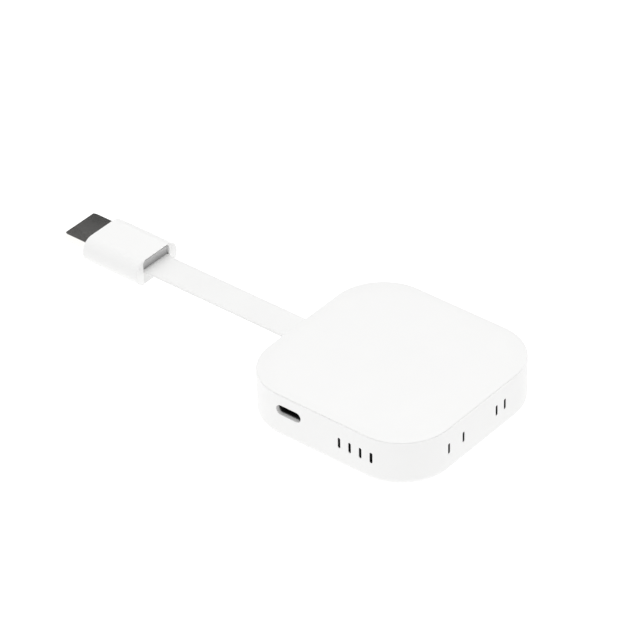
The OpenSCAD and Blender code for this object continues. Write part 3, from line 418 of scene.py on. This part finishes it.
def spread(m, value, low, high):
    """Turns a noise's usual range into one between low and high."""
    made = node(m, "ShaderNodeMapRange", From_Min=NOISE_LOW, From_Max=NOISE_HIGH, To_Min=low, To_Max=high)
    link(m, value, made.inputs["Value"])
    return made.outputs["Result"]


def relief(m, height, strength, distance):
    shader = m.node_tree.nodes["Principled BSDF"]
    bump = node(m, "ShaderNodeBump", Strength=strength, Distance=distance)
    link(m, height, bump.inputs["Height"])
    link(m, bump.outputs["Normal"], shader.inputs["Normal"])


def tint(m, value, dark, light):
    """Lets the colour drift between two tones."""
    shader = m.node_tree.nodes["Principled BSDF"]
    mix = m.node_tree.nodes.new("ShaderNodeMix")
    mix.data_type = "RGBA"
    mix.inputs["A"].default_value = (*dark, 1)
    mix.inputs["B"].default_value = (*light, 1)
    link(m, value, mix.inputs["Factor"])
    link(m, mix.outputs["Result"], shader.inputs["Base Color"])


def textured(name, colour, rough, grain=9000, strength=0.12, depth=GRAIN_DEPTH, drift=0.01,
             stretch=(1, 1, 1), **more):
    """Moulded or metal surface: fine relief, gloss that varies with it, and a slow drift of tone."""
    m = surface(name, colour, rough, **more)
    shader = m.node_tree.nodes["Principled BSDF"]
    where = place_on(m, stretch)
    fine = noise(m, where, grain)
    relief(m, fine, strength, depth)
    link(m, spread(m, fine, rough * GLOSS_LOW, rough * GLOSS_HIGH), shader.inputs["Roughness"])
    slow = spread(m, noise(m, where, DRIFT_SCALE, DRIFT_DETAIL), 0, 1)
    tint(m, slow, [c * (1 - drift) for c in colour], [c * (1 + drift) for c in colour])
    return m


def board_green():
    """Solder mask over fine copper tracks."""
    m = surface("board_green", BOARD_MASK, 0.3)
    shader = m.node_tree.nodes["Principled BSDF"]
    where = place_on(m)
    tracks = node(m, "ShaderNodeTexBrick", Scale=TRACK_SCALE, Mortar_Size=TRACK_WIDTH)
    for socket, colour in BOARD_TONES.items():
        tracks.inputs[socket].default_value = (*colour, 1)
    link(m, where, tracks.inputs["Vector"])
    link(m, tracks.outputs["Color"], shader.inputs["Base Color"])
    relief(m, noise(m, where, BOARD_GRAIN), BOARD_RELIEF, GRAIN_DEPTH)
    return m


def mould_grey():
    """Grey moulding with painted shade: darker towards its bottom, darkest in the crease beside the tail."""
    m = surface("mould_grey", MOULD_TONE, 0.55)
    box = m.node_tree.nodes.new("ShaderNodeTexCoord")
    axes = m.node_tree.nodes.new("ShaderNodeSeparateXYZ")
    link(m, box.outputs["Generated"], axes.inputs["Vector"])
    # Painted shade: the colour darkens towards the moulding's bottom.
    height = node(m, "ShaderNodeMapRange", From_Min=MOULD_PAINTED_SHADE_TO, From_Max=MOULD_LIGHT_FROM)
    link(m, axes.outputs["Z"], height.inputs["Value"])
    tint(m, height.outputs["Result"], MOULD_PAINTED_SHADE, MOULD_LIGHT)
    relief(m, noise(m, place_on(m), MOULDED["grain"]), MOULDED["strength"], GRAIN_DEPTH)
    return m


M = {}


def plastic(slot, colour, rough, **more):
    M[slot] = textured(slot, colour, rough, **more)


def metal(slot, colour, rough, **more):
    M[slot] = textured(slot, colour, rough, metal=1.0, depth=METAL_GRAIN_DEPTH, **more)


plastic("case_white", WHITE, 0.42, drift=0.004)
plastic("cover_white", WHITE, 0.36, drift=0.004)
plastic("jacket_white", (0.825, 0.825, 0.82), 0.5, grain=5000, strength=0.2, drift=0.006)
plastic("plug_white", WHITE, 0.42, drift=0.004)
# Darker white for the step's faces under the tail: painted shade, the same plastic as the sleeve.
plastic("step_painted_shade", (0.74, 0.74, 0.735), 0.42, drift=0.004)
plastic("clamp_white", (0.75, 0.75, 0.74), 0.5)
plastic("chip_black", (0.012, 0.012, 0.013), 0.55, drift=0.1, **MOULDED)
plastic("coil_grey", (0.06, 0.06, 0.065), 0.7, drift=0.1, **MOULDED)
plastic("ceramic_tan", (0.36, 0.22, 0.12), 0.5, drift=0.05, **MOULDED)
plastic("tantalum_amber", (0.55, 0.29, 0.03), 0.45, drift=0.05, **MOULDED)
plastic("thermal_pad", (0.25, 0.42, 0.60), 0.8, grain=2500, strength=0.4, drift=0.03)
plastic("insulator_black", (0.008, 0.008, 0.009), 0.45, drift=0.1, **MOULDED)
metal("plug_steel", (0.80, 0.79, 0.77), 0.2, grain=5000, strength=0.06, stretch=(0.15, 3, 3))
metal("tin_plate", (0.70, 0.69, 0.67), 0.45, grain=6000, strength=0.1)
metal("spreader_aluminium", (0.70, 0.71, 0.73), 0.35, strength=0.1, stretch=(0.1, 4, 1))
metal("contact_gold", (0.80, 0.53, 0.18), 0.22, strength=0.08)
metal("wire_copper", (0.65, 0.30, 0.14), 0.3, strength=0.1)
metal("screw_black", (0.05, 0.05, 0.055), 0.4, strength=0.1)
# Steel much darker than real steel, so the power socket's inside looks dark: painted shade.
metal("socket_steel_painted_shade", (0.2, 0.2, 0.2), 0.3, strength=0.1)
M["board_green"] = board_green()
M["mould_grey"] = mould_grey()
for part in frame["record"]["subparts"]:
    paint(nodes[part["node"]], part["material_slot"])
# The power socket's shell takes the darkened steel: painted shade inside the socket.
paint(nodes["usb_shell"], "socket_steel_painted_shade")


# Lower case
def square_ring(inset, z):
    """Ring at an inset from the body's outline."""
    size = PUCK - 2 * inset
    return [(x, y, z) for x, y in rounded_path(size, size, CORNER - inset, CORNER_ARC)]


def slot_cutters():
    """Each vent slot is white at its mouth; behind its thin skin its walls are painted black, as painted
    shade.
    """
    made = []
    inner = HALF - 2 * WALL
    mouth = (0, "case_white", HALF + WALL)
    # Behind the skin the slot's walls take the black insulator's material: painted shade, not a real part.
    behind = (SLOT_GROWTH, "insulator_black", HALF - SLOT_SKIN)
    for grow, slot, outer in (mouth, behind):
        path = stadium(SLOT_WIDTH + 2 * grow, SLOT_HEIGHT + 2 * grow)
        for x in FRONT_SLOTS:
            made.append(paint(along_y("slot", shift(path, x, SLOT_LEVEL), -outer, -inner), slot))
        for y in SIDE_SLOTS:
            made.append(paint(along_x("slot", shift(path, y, SLOT_LEVEL), inner, outer), slot))
    return made


def case_shell():
    """Hollow case with a round lower edge, its openings and its slots."""
    rings = [square_ring(2 * FILLET, 0)]
    for a in quarter(FILLET_STEPS):
        rings.append(square_ring(FILLET - FILLET * math.sin(a), FILLET - FILLET * math.cos(a)))
    for a in quarter(EDGE_STEPS):
        rings.append(square_ring(EDGE - EDGE * math.cos(a), SEAM - EDGE + EDGE * math.sin(a)))
    rings += [square_ring(WALL, SEAM), square_ring(WALL, FLOOR)]
    case = paint(loft("case_shell", rings), "case_white")
    usb_hole = shift(stadium(*USB_OPENING, arc=16), USB_X, USB_Z)
    tail_hole = shift(rounded_path(*TAIL_SLOT, TAIL_EDGE, arc=6), 0, AXIS)
    holes = [
        along_y("usb", usb_hole, -HALF - WALL, -HALF + 2 * WALL),
        along_x("tail", tail_hole, -HALF - WALL, -HALF + 2 * WALL),
        along_z("pinhole", shift(disc(PINHOLE_RADIUS), *PINHOLE), -FLOOR, 2 * FLOOR),
    ]
    cut(case, [paint(hole, "case_white") for hole in holes] + slot_cutters())
    soften(case, OPENING_SOFT)
    place(case, "case_white", "puck", "base_case")


def tube(name, spot, outer, inner, low, high):
    """Upright tube with a rounded top."""
    rings = [[(x, y, low) for x, y in shift(disc(outer), *spot)]]
    for a in quarter(TUBE_STEPS):
        radius = outer - EDGE + EDGE * math.cos(a)
        level = high - EDGE + EDGE * math.sin(a)
        rings.append([(x, y, level) for x, y in shift(disc(radius), *spot)])
    for z in (high, low):
        rings.append([(x, y, z) for x, y in shift(disc(inner), *spot)])
    rings.append(rings[0])
    return loft(name, rings, ends=False)


def heat_stake(name, spot, root, up):
    """Post and its formed head, from root upwards or downwards."""
    head = root + up * STAKE_LENGTH
    levels = [(STAKE_RADIUS, root), (STAKE_RADIUS, head), (STAKE_HEAD_RADIUS, head)]
    for a in quarter(DOME_STEPS):
        dome = EDGE + (STAKE_HEAD_RADIUS - EDGE) * math.cos(a)
        levels.append((dome, head + up * STAKE_HEAD * math.sin(a)))
    rings = [[(x, y, z) for x, y in shift(disc(radius, STAKE_SIDES), *spot)] for radius, z in levels]
    return loft(name, rings)


def case_posts():
    """Screw bosses, the pinhole's guide and the lower spreader's heat stakes."""
    board_low = span("main_board", Z)[0]
    corners = [(x, y) for x in (-1, 1) for y in (-1, 1)]
    parts = [tube("boss", (x * BOSS_SPOT, y * BOSS_SPOT), BOSS_RADIUS, SCREW_RADIUS, FLOOR, board_low)
             for x, y in corners]
    parts.append(tube("guide", PINHOLE, GUIDE_RADIUS, PINHOLE_RADIUS, FLOOR, GUIDE_TOP))
    spot = span("lower_heat_spreader", X)[1] - STAKE_INSET
    parts += [heat_stake("stake", (x * spot, y * spot), FLOOR, 1) for x, y in corners]
    place(join("case_posts", parts), "case_white", "puck", "base_case")


# Top cover
def crown(x, y):
    """Height of the cover's crowned top."""
    return CROWN_CENTRE + math.sqrt(CROWN_RADIUS ** 2 - x * x - y * y)


def cover_path(inset):
    """The cover's outline, at an inset from its edge."""
    size = PUCK - 2 * COVER_INSET - 2 * inset
    return rounded_path(size, size, CORNER - COVER_INSET - inset, CORNER_ARC)


def cover_ring(inset, under=0.0, level=None):
    """Ring at an inset from the cover's edge, at a distance under the crown or at a level."""
    return [(x, y, crown(x, y) - under if level is None else level) for x, y in cover_path(inset)]


def cover_shell():
    """Crowned top with a round edge, the seam's groove and the skirt inside the case."""
    shares = [k / CROWN_RINGS for k in range(1, CROWN_RINGS)]
    rings = [[(x * s, y * s, crown(x * s, y * s)) for x, y in cover_path(0)] for s in shares]
    turn = COVER_ROUND
    for a in quarter(COVER_STEPS):
        rings.append(cover_ring(turn - turn * math.sin(a), under=turn - turn * math.cos(a)))
    skirt = WALL + FIT - COVER_INSET
    profile = [
        (0, SEAM + GROOVE + GROOVE_EDGE),
        (GROOVE_EDGE, SEAM + GROOVE),
        (GROOVE_DEPTH, SEAM + GROOVE),
        (GROOVE_DEPTH, SEAM),
        (skirt, SEAM),
        (skirt, SKIRT_BOTTOM + SKIRT_EDGE),
        (skirt + SKIRT_EDGE, SKIRT_BOTTOM),
        (skirt + SKIRT, SKIRT_BOTTOM),
        (skirt + SKIRT, COVER_UNDER),
    ]
    rings += [cover_ring(inset, level=level) for inset, level in profile]
    place(loft("cover_shell", rings, angle=CURVED_SMOOTH_BELOW), "cover_white", "puck", "top_cover")


def turned(x, y, degrees):
    """A place turned about the body's middle."""
    a = math.radians(degrees)
    return x * math.cos(a) - y * math.sin(a), x * math.sin(a) + y * math.cos(a)


def snap_hook(turn, along):
    """Leg with a catch that points out through the wall."""
    low = COVER_UNDER - HOOK_REACH
    out = HALF - WALL - FIT
    profile = [(-SKIRT, low), (0, low), (HOOK_CATCH, low + HOOK_CATCH_HEIGHT / 2),
               (HOOK_CATCH, low + HOOK_CATCH_HEIGHT), (0, low + HOOK_CATCH_HEIGHT),
               (0, COVER_UNDER), (-SKIRT, COVER_UNDER)]
    rings = []
    for y in (along - HOOK_WIDTH / 2, along + HOOK_WIDTH / 2):
        rings.append([turned(x + out, y, turn) + (z,) for x, z in profile])
    return loft("hook", rings)


def cover_fixings():
    """Snap hooks and the upper spreader's heat stakes."""
    parts = [snap_hook(*spot) for spot in HOOK_SPOTS]
    low_x, high_x = span("upper_heat_spreader", X)
    low_y, high_y = span("upper_heat_spreader", Y)
    for x in (low_x + STAKE_INSET, high_x - STAKE_INSET):
        for y in (low_y + STAKE_INSET, high_y - STAKE_INSET):
            parts.append(heat_stake("stake", (x, y), COVER_UNDER, -1))
    place(join("cover_fixings", parts), "cover_white", "puck", "top_cover")


# Tail
def tail_half(x):
    """Half the jacket's width, which grows on a curve towards the plug."""
    share = min(max((MOULD + FLARE_LENGTH - x) / FLARE_LENGTH, 0), 1)
    return TAIL_WIDTH / 2 + FLARE_WIDTH * share ** 2


def places_along(start, end, steps):
    """Evenly spaced places, with both ends."""
    return [start + (end - start) * k / steps for k in range(steps + 1)]


def tail_jacket(name, start, end, stands_for):
    """Stretch of the flat jacket, with rings close enough for it to bend."""
    rings = []
    for x in places_along(start, end, round(abs(end - start) / JACKET_STEP)):
        path = rounded_path(2 * tail_half(x), TAIL_THICKNESS, TAIL_EDGE, arc=8, straight=6)
        rings.append([(x, y, z + AXIS) for y, z in path])
    bend_over(loft(name, rings, angle=TAIL_SMOOTH_BELOW), "jacket_white", stands_for)


def tail_ribbon(name, start, end, stands_for):
    """Round-backed wires side by side."""
    width, thickness = RIBBON
    count = WIRES * WIRE_POINTS
    outline = []
    for side in (1, -1):
        for k in range(count):
            back = abs(math.sin(math.pi * (k + 0.5) / WIRE_POINTS))
            y = side * width * (0.5 - (k + 0.5) / count)
            outline.append((y, side * (thickness / 2 - WIRE_DIP * (1 - back))))
    rings = [[(x, y, z + AXIS) for y, z in outline] for x in places_along(start, end, RIBBON_STEPS)]
    bend_over(loft(name, rings, angle=TAIL_SMOOTH_BELOW), "wire_copper", stands_for)


def bend_over(ob, slot, stands_for):
    """Paints a stretch of the tail, hides the CAD nodes it stands for and bakes its place into its mesh."""
    place(ob, slot, None, stands_for)
    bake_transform(ob)


def tail():
    """The jacket and the ribbon in three stretches, one for each joint."""
    near, far = TAIL_EXIT - TAIL_STILL, SLEEVE_REAR + BEND_TUCK
    stretches = [
        ("near", BEND_START, ("puck", "tail_near"), (near, BEND_START)),
        ("middle", BEND_END, ("tail_near", "tail_far"), (BEND_START, BEND_END)),
        ("far", TAIL_END, ("tail_far", "plug"), (BEND_END, far)),
    ]
    jacket_start, ribbon_start = TAIL_START, span("tail_ribbon_near", X)[1]
    for name, end, bodies, bend in stretches:
        tail_jacket(name + "_jacket", jacket_start, end, "tail_jacket_" + name)
        ribbon_end = span("tail_ribbon_far", X)[0] if name == "far" else end
        tail_ribbon(name + "_ribbon", ribbon_start, ribbon_end, "tail_ribbon_" + name)
        jacket_start = ribbon_start = end


# Plug
def oval_ring(x, inset):
    """Ring at an inset from the sleeve's outline."""
    width, height = SLEEVE_WIDTH - 2 * inset, SLEEVE_HEIGHT - 2 * inset
    return [(x, y, z + AXIS) for y, z in stadium(width, height, arc=20)]


def recess_path():
    """Opening in the sleeve's rear, with round upper corners."""
    low = AXIS - TAIL_THICKNESS / 2 - RECESS_GAP
    high = AXIS + SLEEVE_HEIGHT / 2 - RECESS_TOP_WALL
    path = [(-RECESS_HALF, low), (RECESS_HALF, low)]
    inner, level = RECESS_HALF - RECESS_CORNER, high - RECESS_CORNER
    for a in quarter(RECESS_STEPS):
        path.append((inner + RECESS_CORNER * math.cos(a), level + RECESS_CORNER * math.sin(a)))
    for a in quarter(RECESS_STEPS):
        path.append((-inner - RECESS_CORNER * math.sin(a), level + RECESS_CORNER * math.cos(a)))
    return path


def edge_rings(ring, edge, start, inwards, steps=5):
    """Rings of a rounded edge, from its drawn-in end at a place along X."""
    turn = [(edge - edge * math.sin(a), edge - edge * math.cos(a)) for a in quarter(steps)]
    return [ring(start + inwards * along, inset) for inset, along in turn]


def plug_sleeve():
    """Hollow oval sleeve with the recess and the step at its rear."""
    rings = edge_rings(oval_ring, SLEEVE_REAR_EDGE, SLEEVE_REAR, -1)
    rings += reversed(edge_rings(oval_ring, SLEEVE_FRONT_EDGE, SLEEVE_FRONT, 1))
    sleeve = paint(loft("sleeve_shell", rings, angle=CURVED_SMOOTH_BELOW), "plug_white")
    inner = stadium(SLEEVE_WIDTH - 2 * SLEEVE_WALL, SLEEVE_HEIGHT - 2 * SLEEVE_WALL, arc=20)
    outside = SLEEVE_REAR + WALL
    cavity = along_x("cavity", shift(inner, 0, AXIS), SLEEVE_FRONT - WALL, MOULD - FIT)
    recess = along_x("recess", recess_path(), MOULD - 2 * FIT, outside)
    below = rounded_path(2 * RECESS_HALF, SLEEVE_HEIGHT, FIT, arc=2)
    below = shift(below, 0, AXIS - SLEEVE_HEIGHT / 2)
    step = along_x("step", below, SLEEVE_REAR - STEP_DEPTH, outside)
    # The step's faces take the darker white: painted shade under the tail.
    cut(sleeve, [paint(cavity, "plug_white"), paint(recess, "plug_white"), paint(step, "step_painted_shade")])
    soften(sleeve, SLEEVE_SOFT)
    place(sleeve, "plug_white", "plug", "plug_sleeve")


def plug_path(inset, x):
    """Section of the metal shell: flat top, bevelled lower corners, narrower at the tip."""
    slope = math.hypot(BEVEL_WIDTH, BEVEL_HEIGHT)
    narrow = TIP_NARROWING * min(max((TIP + TIP_LENGTH - x) / TIP_LENGTH, 0), 1)
    side = SHELL_HALF - inset - narrow
    foot = SHELL_HALF - BEVEL_WIDTH - narrow - inset * (slope - BEVEL_WIDTH) / BEVEL_HEIGHT
    knee = SHELL_LOW + BEVEL_HEIGHT + inset * (slope - BEVEL_HEIGHT) / BEVEL_WIDTH
    right = [(foot, SHELL_LOW + inset), (side, knee), (side, SHELL_HIGH - inset)]
    corners = right + [(-y, z) for y, z in reversed(right)]
    path = []
    reach = max(SHELL_ROUND - inset, SHELL_INNER_ROUND)
    for i, corner in enumerate(corners):
        ends = []
        for other in (corners[i - 1], corners[(i + 1) % len(corners)]):
            t = reach / math.dist(corner, other)
            ends.append([c + (o - c) * t for c, o in zip(corner, other)])
        for k in range(SHELL_ROUND_STEPS + 1):
            t = k / SHELL_ROUND_STEPS
            path.append(tuple((1 - t) ** 2 * a + 2 * t * (1 - t) * c + t * t * b
                              for a, c, b in zip(ends[0], corner, ends[1])))
    return path


def plug_ring(inset, x):
    return [(x, y, z) for y, z in plug_path(inset, x)]


def plug_shell():
    """Sheet metal shell, open at its tip, with latch windows in its underside."""
    stations = [TIP + SHELL_LIP, TIP + TIP_LENGTH, SLEEVE_FRONT, SHELL_REAR]
    outside = [plug_ring(SHELL_LIP, TIP)] + [plug_ring(0, x) for x in stations]
    inside = [plug_ring(SHELL_SHEET, x) for x in reversed(stations)]
    mouth = plug_ring(SHELL_SHEET - SHELL_LIP, TIP)
    shell = loft("plug_shell_formed", outside + inside + [mouth, outside[0]], SHELL_SMOOTH_BELOW, ends=False)
    paint(shell, "plug_steel")
    holes = []
    start = TIP + WINDOW_SETBACK
    for side in (-1, 1):
        box = rounded_path(WINDOW_WIDTH, BEVEL_HEIGHT, SHELL_LIP, arc=2)
        window = shift(box, side * WINDOW_SPACING / 2, SHELL_LOW)
        holes.append(paint(along_x("window", window, start, start + WINDOW_LENGTH), "plug_steel"))
    cut(shell, holes)
    shade(shell, SHELL_SMOOTH_BELOW)
    place(shell, "plug_steel", "plug", "plug_shell")


# Studio
FLOOR_LEVEL = -75.0
FLOOR_REACH = 3000.0
FLOOR_LIGHT = 1.08
FLOOR_TONE = (0.15, 0.15, 0.15)
FLOOR_ROUGH, FLOOR_GLOSS = 0.9, 0.1
SKY_LEVEL = 0.53
SKY_SLOPE = (-0.33, 0.32, 0.6)
SOFT_LIGHTS = [((0.7, -0.7, 0.15), 1.07), ((-0.8, -0.6, 0.1), 0.35), ((0, 0.2, 1), 0.97)]
DIM_CORNER = ((-0.7, 0.7, 0.1), -0.9)
CARDS = [((-0.607, 0.732, 0.309), 28, 40), ((-0.516, -0.05, 0.855), 20, 30)]
CARD_LEVEL = 0.08
LIGHT_FOCUS = 8
SEEN_LEVEL = 1.2


def studio_floor():
    """Pale floor, far enough down for the plug to hang at the tail's limits."""
    m = surface("floor_white", FLOOR_TONE, FLOOR_ROUGH, gloss=FLOOR_GLOSS)
    shader = m.node_tree.nodes["Principled BSDF"]
    shader.inputs["Emission Color"].default_value = (1, 1, 1, 1)
    shader.inputs["Emission Strength"].default_value = FLOOR_LIGHT
    square = [(-1, -1), (1, -1), (1, 1), (-1, 1)]
    corners = [(x * FLOOR_REACH, y * FLOOR_REACH, FLOOR_LEVEL) for x, y in square]
    floor = mesh_object("floor_plane", corners, [(0, 1, 2, 3)])
    floor.data.materials.append(m)


def studio_light():
    """Soft sky, brighter overhead, with wide lights, a dimmer corner behind and cards for gloss."""
    world = bpy.data.worlds.new("studio")
    bpy.context.scene.world = world
    world.use_nodes = True
    tree = world.node_tree
    sky = tree.nodes["Background"]
    where = tree.nodes.new("ShaderNodeTexCoord").outputs["Generated"]

    def maths(operation, a, b):
        made = tree.nodes.new("ShaderNodeMath")
        made.operation = operation
        for value, socket in zip((a, b), made.inputs):
            if isinstance(value, (int, float)):
                socket.default_value = value
            else:
                tree.links.new(value, socket)
        return made.outputs["Value"]

    def facing(direction):
        """How directly the sky's place lies in a direction."""
        made = tree.nodes.new("ShaderNodeVectorMath")
        made.operation = "DOT_PRODUCT"
        made.inputs[1].default_value = Vector(direction).normalized()
        tree.links.new(where, made.inputs[0])
        return made.outputs["Value"]

    level = maths("ADD", SKY_LEVEL, maths("MULTIPLY", Vector(SKY_SLOPE).length, facing(SKY_SLOPE)))
    for direction, strength in SOFT_LIGHTS + [DIM_CORNER]:
        lobe = maths("POWER", maths("MAXIMUM", facing(direction), 0), LIGHT_FOCUS)
        level = maths("ADD", level, maths("MULTIPLY", strength, lobe))
    rays = tree.nodes.new("ShaderNodeLightPath").outputs
    for direction, dark_to, fades_by in CARDS:
        card = tree.nodes.new("ShaderNodeMapRange")
        card.interpolation_type = "SMOOTHSTEP"
        card.inputs["From Min"].default_value = math.cos(math.radians(fades_by))
        card.inputs["From Max"].default_value = math.cos(math.radians(dark_to))
        tree.links.new(facing(direction), card.inputs["Value"])
        hidden = maths("MULTIPLY", card.outputs["Result"], rays["Is Glossy Ray"])
        kept = maths("SUBTRACT", 1, maths("MULTIPLY", hidden, 1 - CARD_LEVEL))
        level = maths("MULTIPLY", level, kept)
    level = maths("MAXIMUM", level, maths("MULTIPLY", rays["Is Camera Ray"], SEEN_LEVEL))
    tree.links.new(level, sky.inputs["Strength"])
    sky.inputs["Color"].default_value = (1, 1, 1, 1)


# Camera
CAMERA_TURN = 39.68
CAMERA_LIFT = 36.09
CAMERA_ROLL = -1.28
CAMERA_DISTANCE = 1199.0
CAMERA_SHIFT = (21.52, -24.79)
SENSOR = 36.0
LENS = 227.1
CLIP_START, CLIP_END = 0.05, 20


def camera():
    """Long lens, turned and placed as in the photograph."""
    turn, lift, roll = [math.radians(a) for a in (CAMERA_TURN, CAMERA_LIFT, CAMERA_ROLL)]
    back = Vector((math.sin(turn) * math.cos(lift), -math.cos(turn) * math.cos(lift), math.sin(lift)))
    level = Vector((math.cos(turn), math.sin(turn), 0))
    above = back.cross(level)
    right = level * math.cos(roll) + above * math.sin(roll)
    up = above * math.cos(roll) - level * math.sin(roll)
    data = bpy.data.cameras.new("camera")
    data.sensor_width = SENSOR
    data.lens = LENS
    data.clip_start, data.clip_end = CLIP_START, CLIP_END
    ob = bpy.data.objects.new("camera", data)
    bpy.context.scene.collection.objects.link(ob)
    spot = (back * CAMERA_DISTANCE - right * CAMERA_SHIFT[0] - up * CAMERA_SHIFT[1]) * MM
    ob.matrix_world = Matrix.Translation(spot) @ Matrix((right, up, back)).transposed().to_4x4()
    bpy.context.scene.camera = ob


camera()
studio_floor()
studio_light()
case_shell()
case_posts()
cover_shell()
cover_fixings()
tail()
plug_sleeve()
plug_shell()
bpy.context.scene.view_settings.view_transform = "Standard"
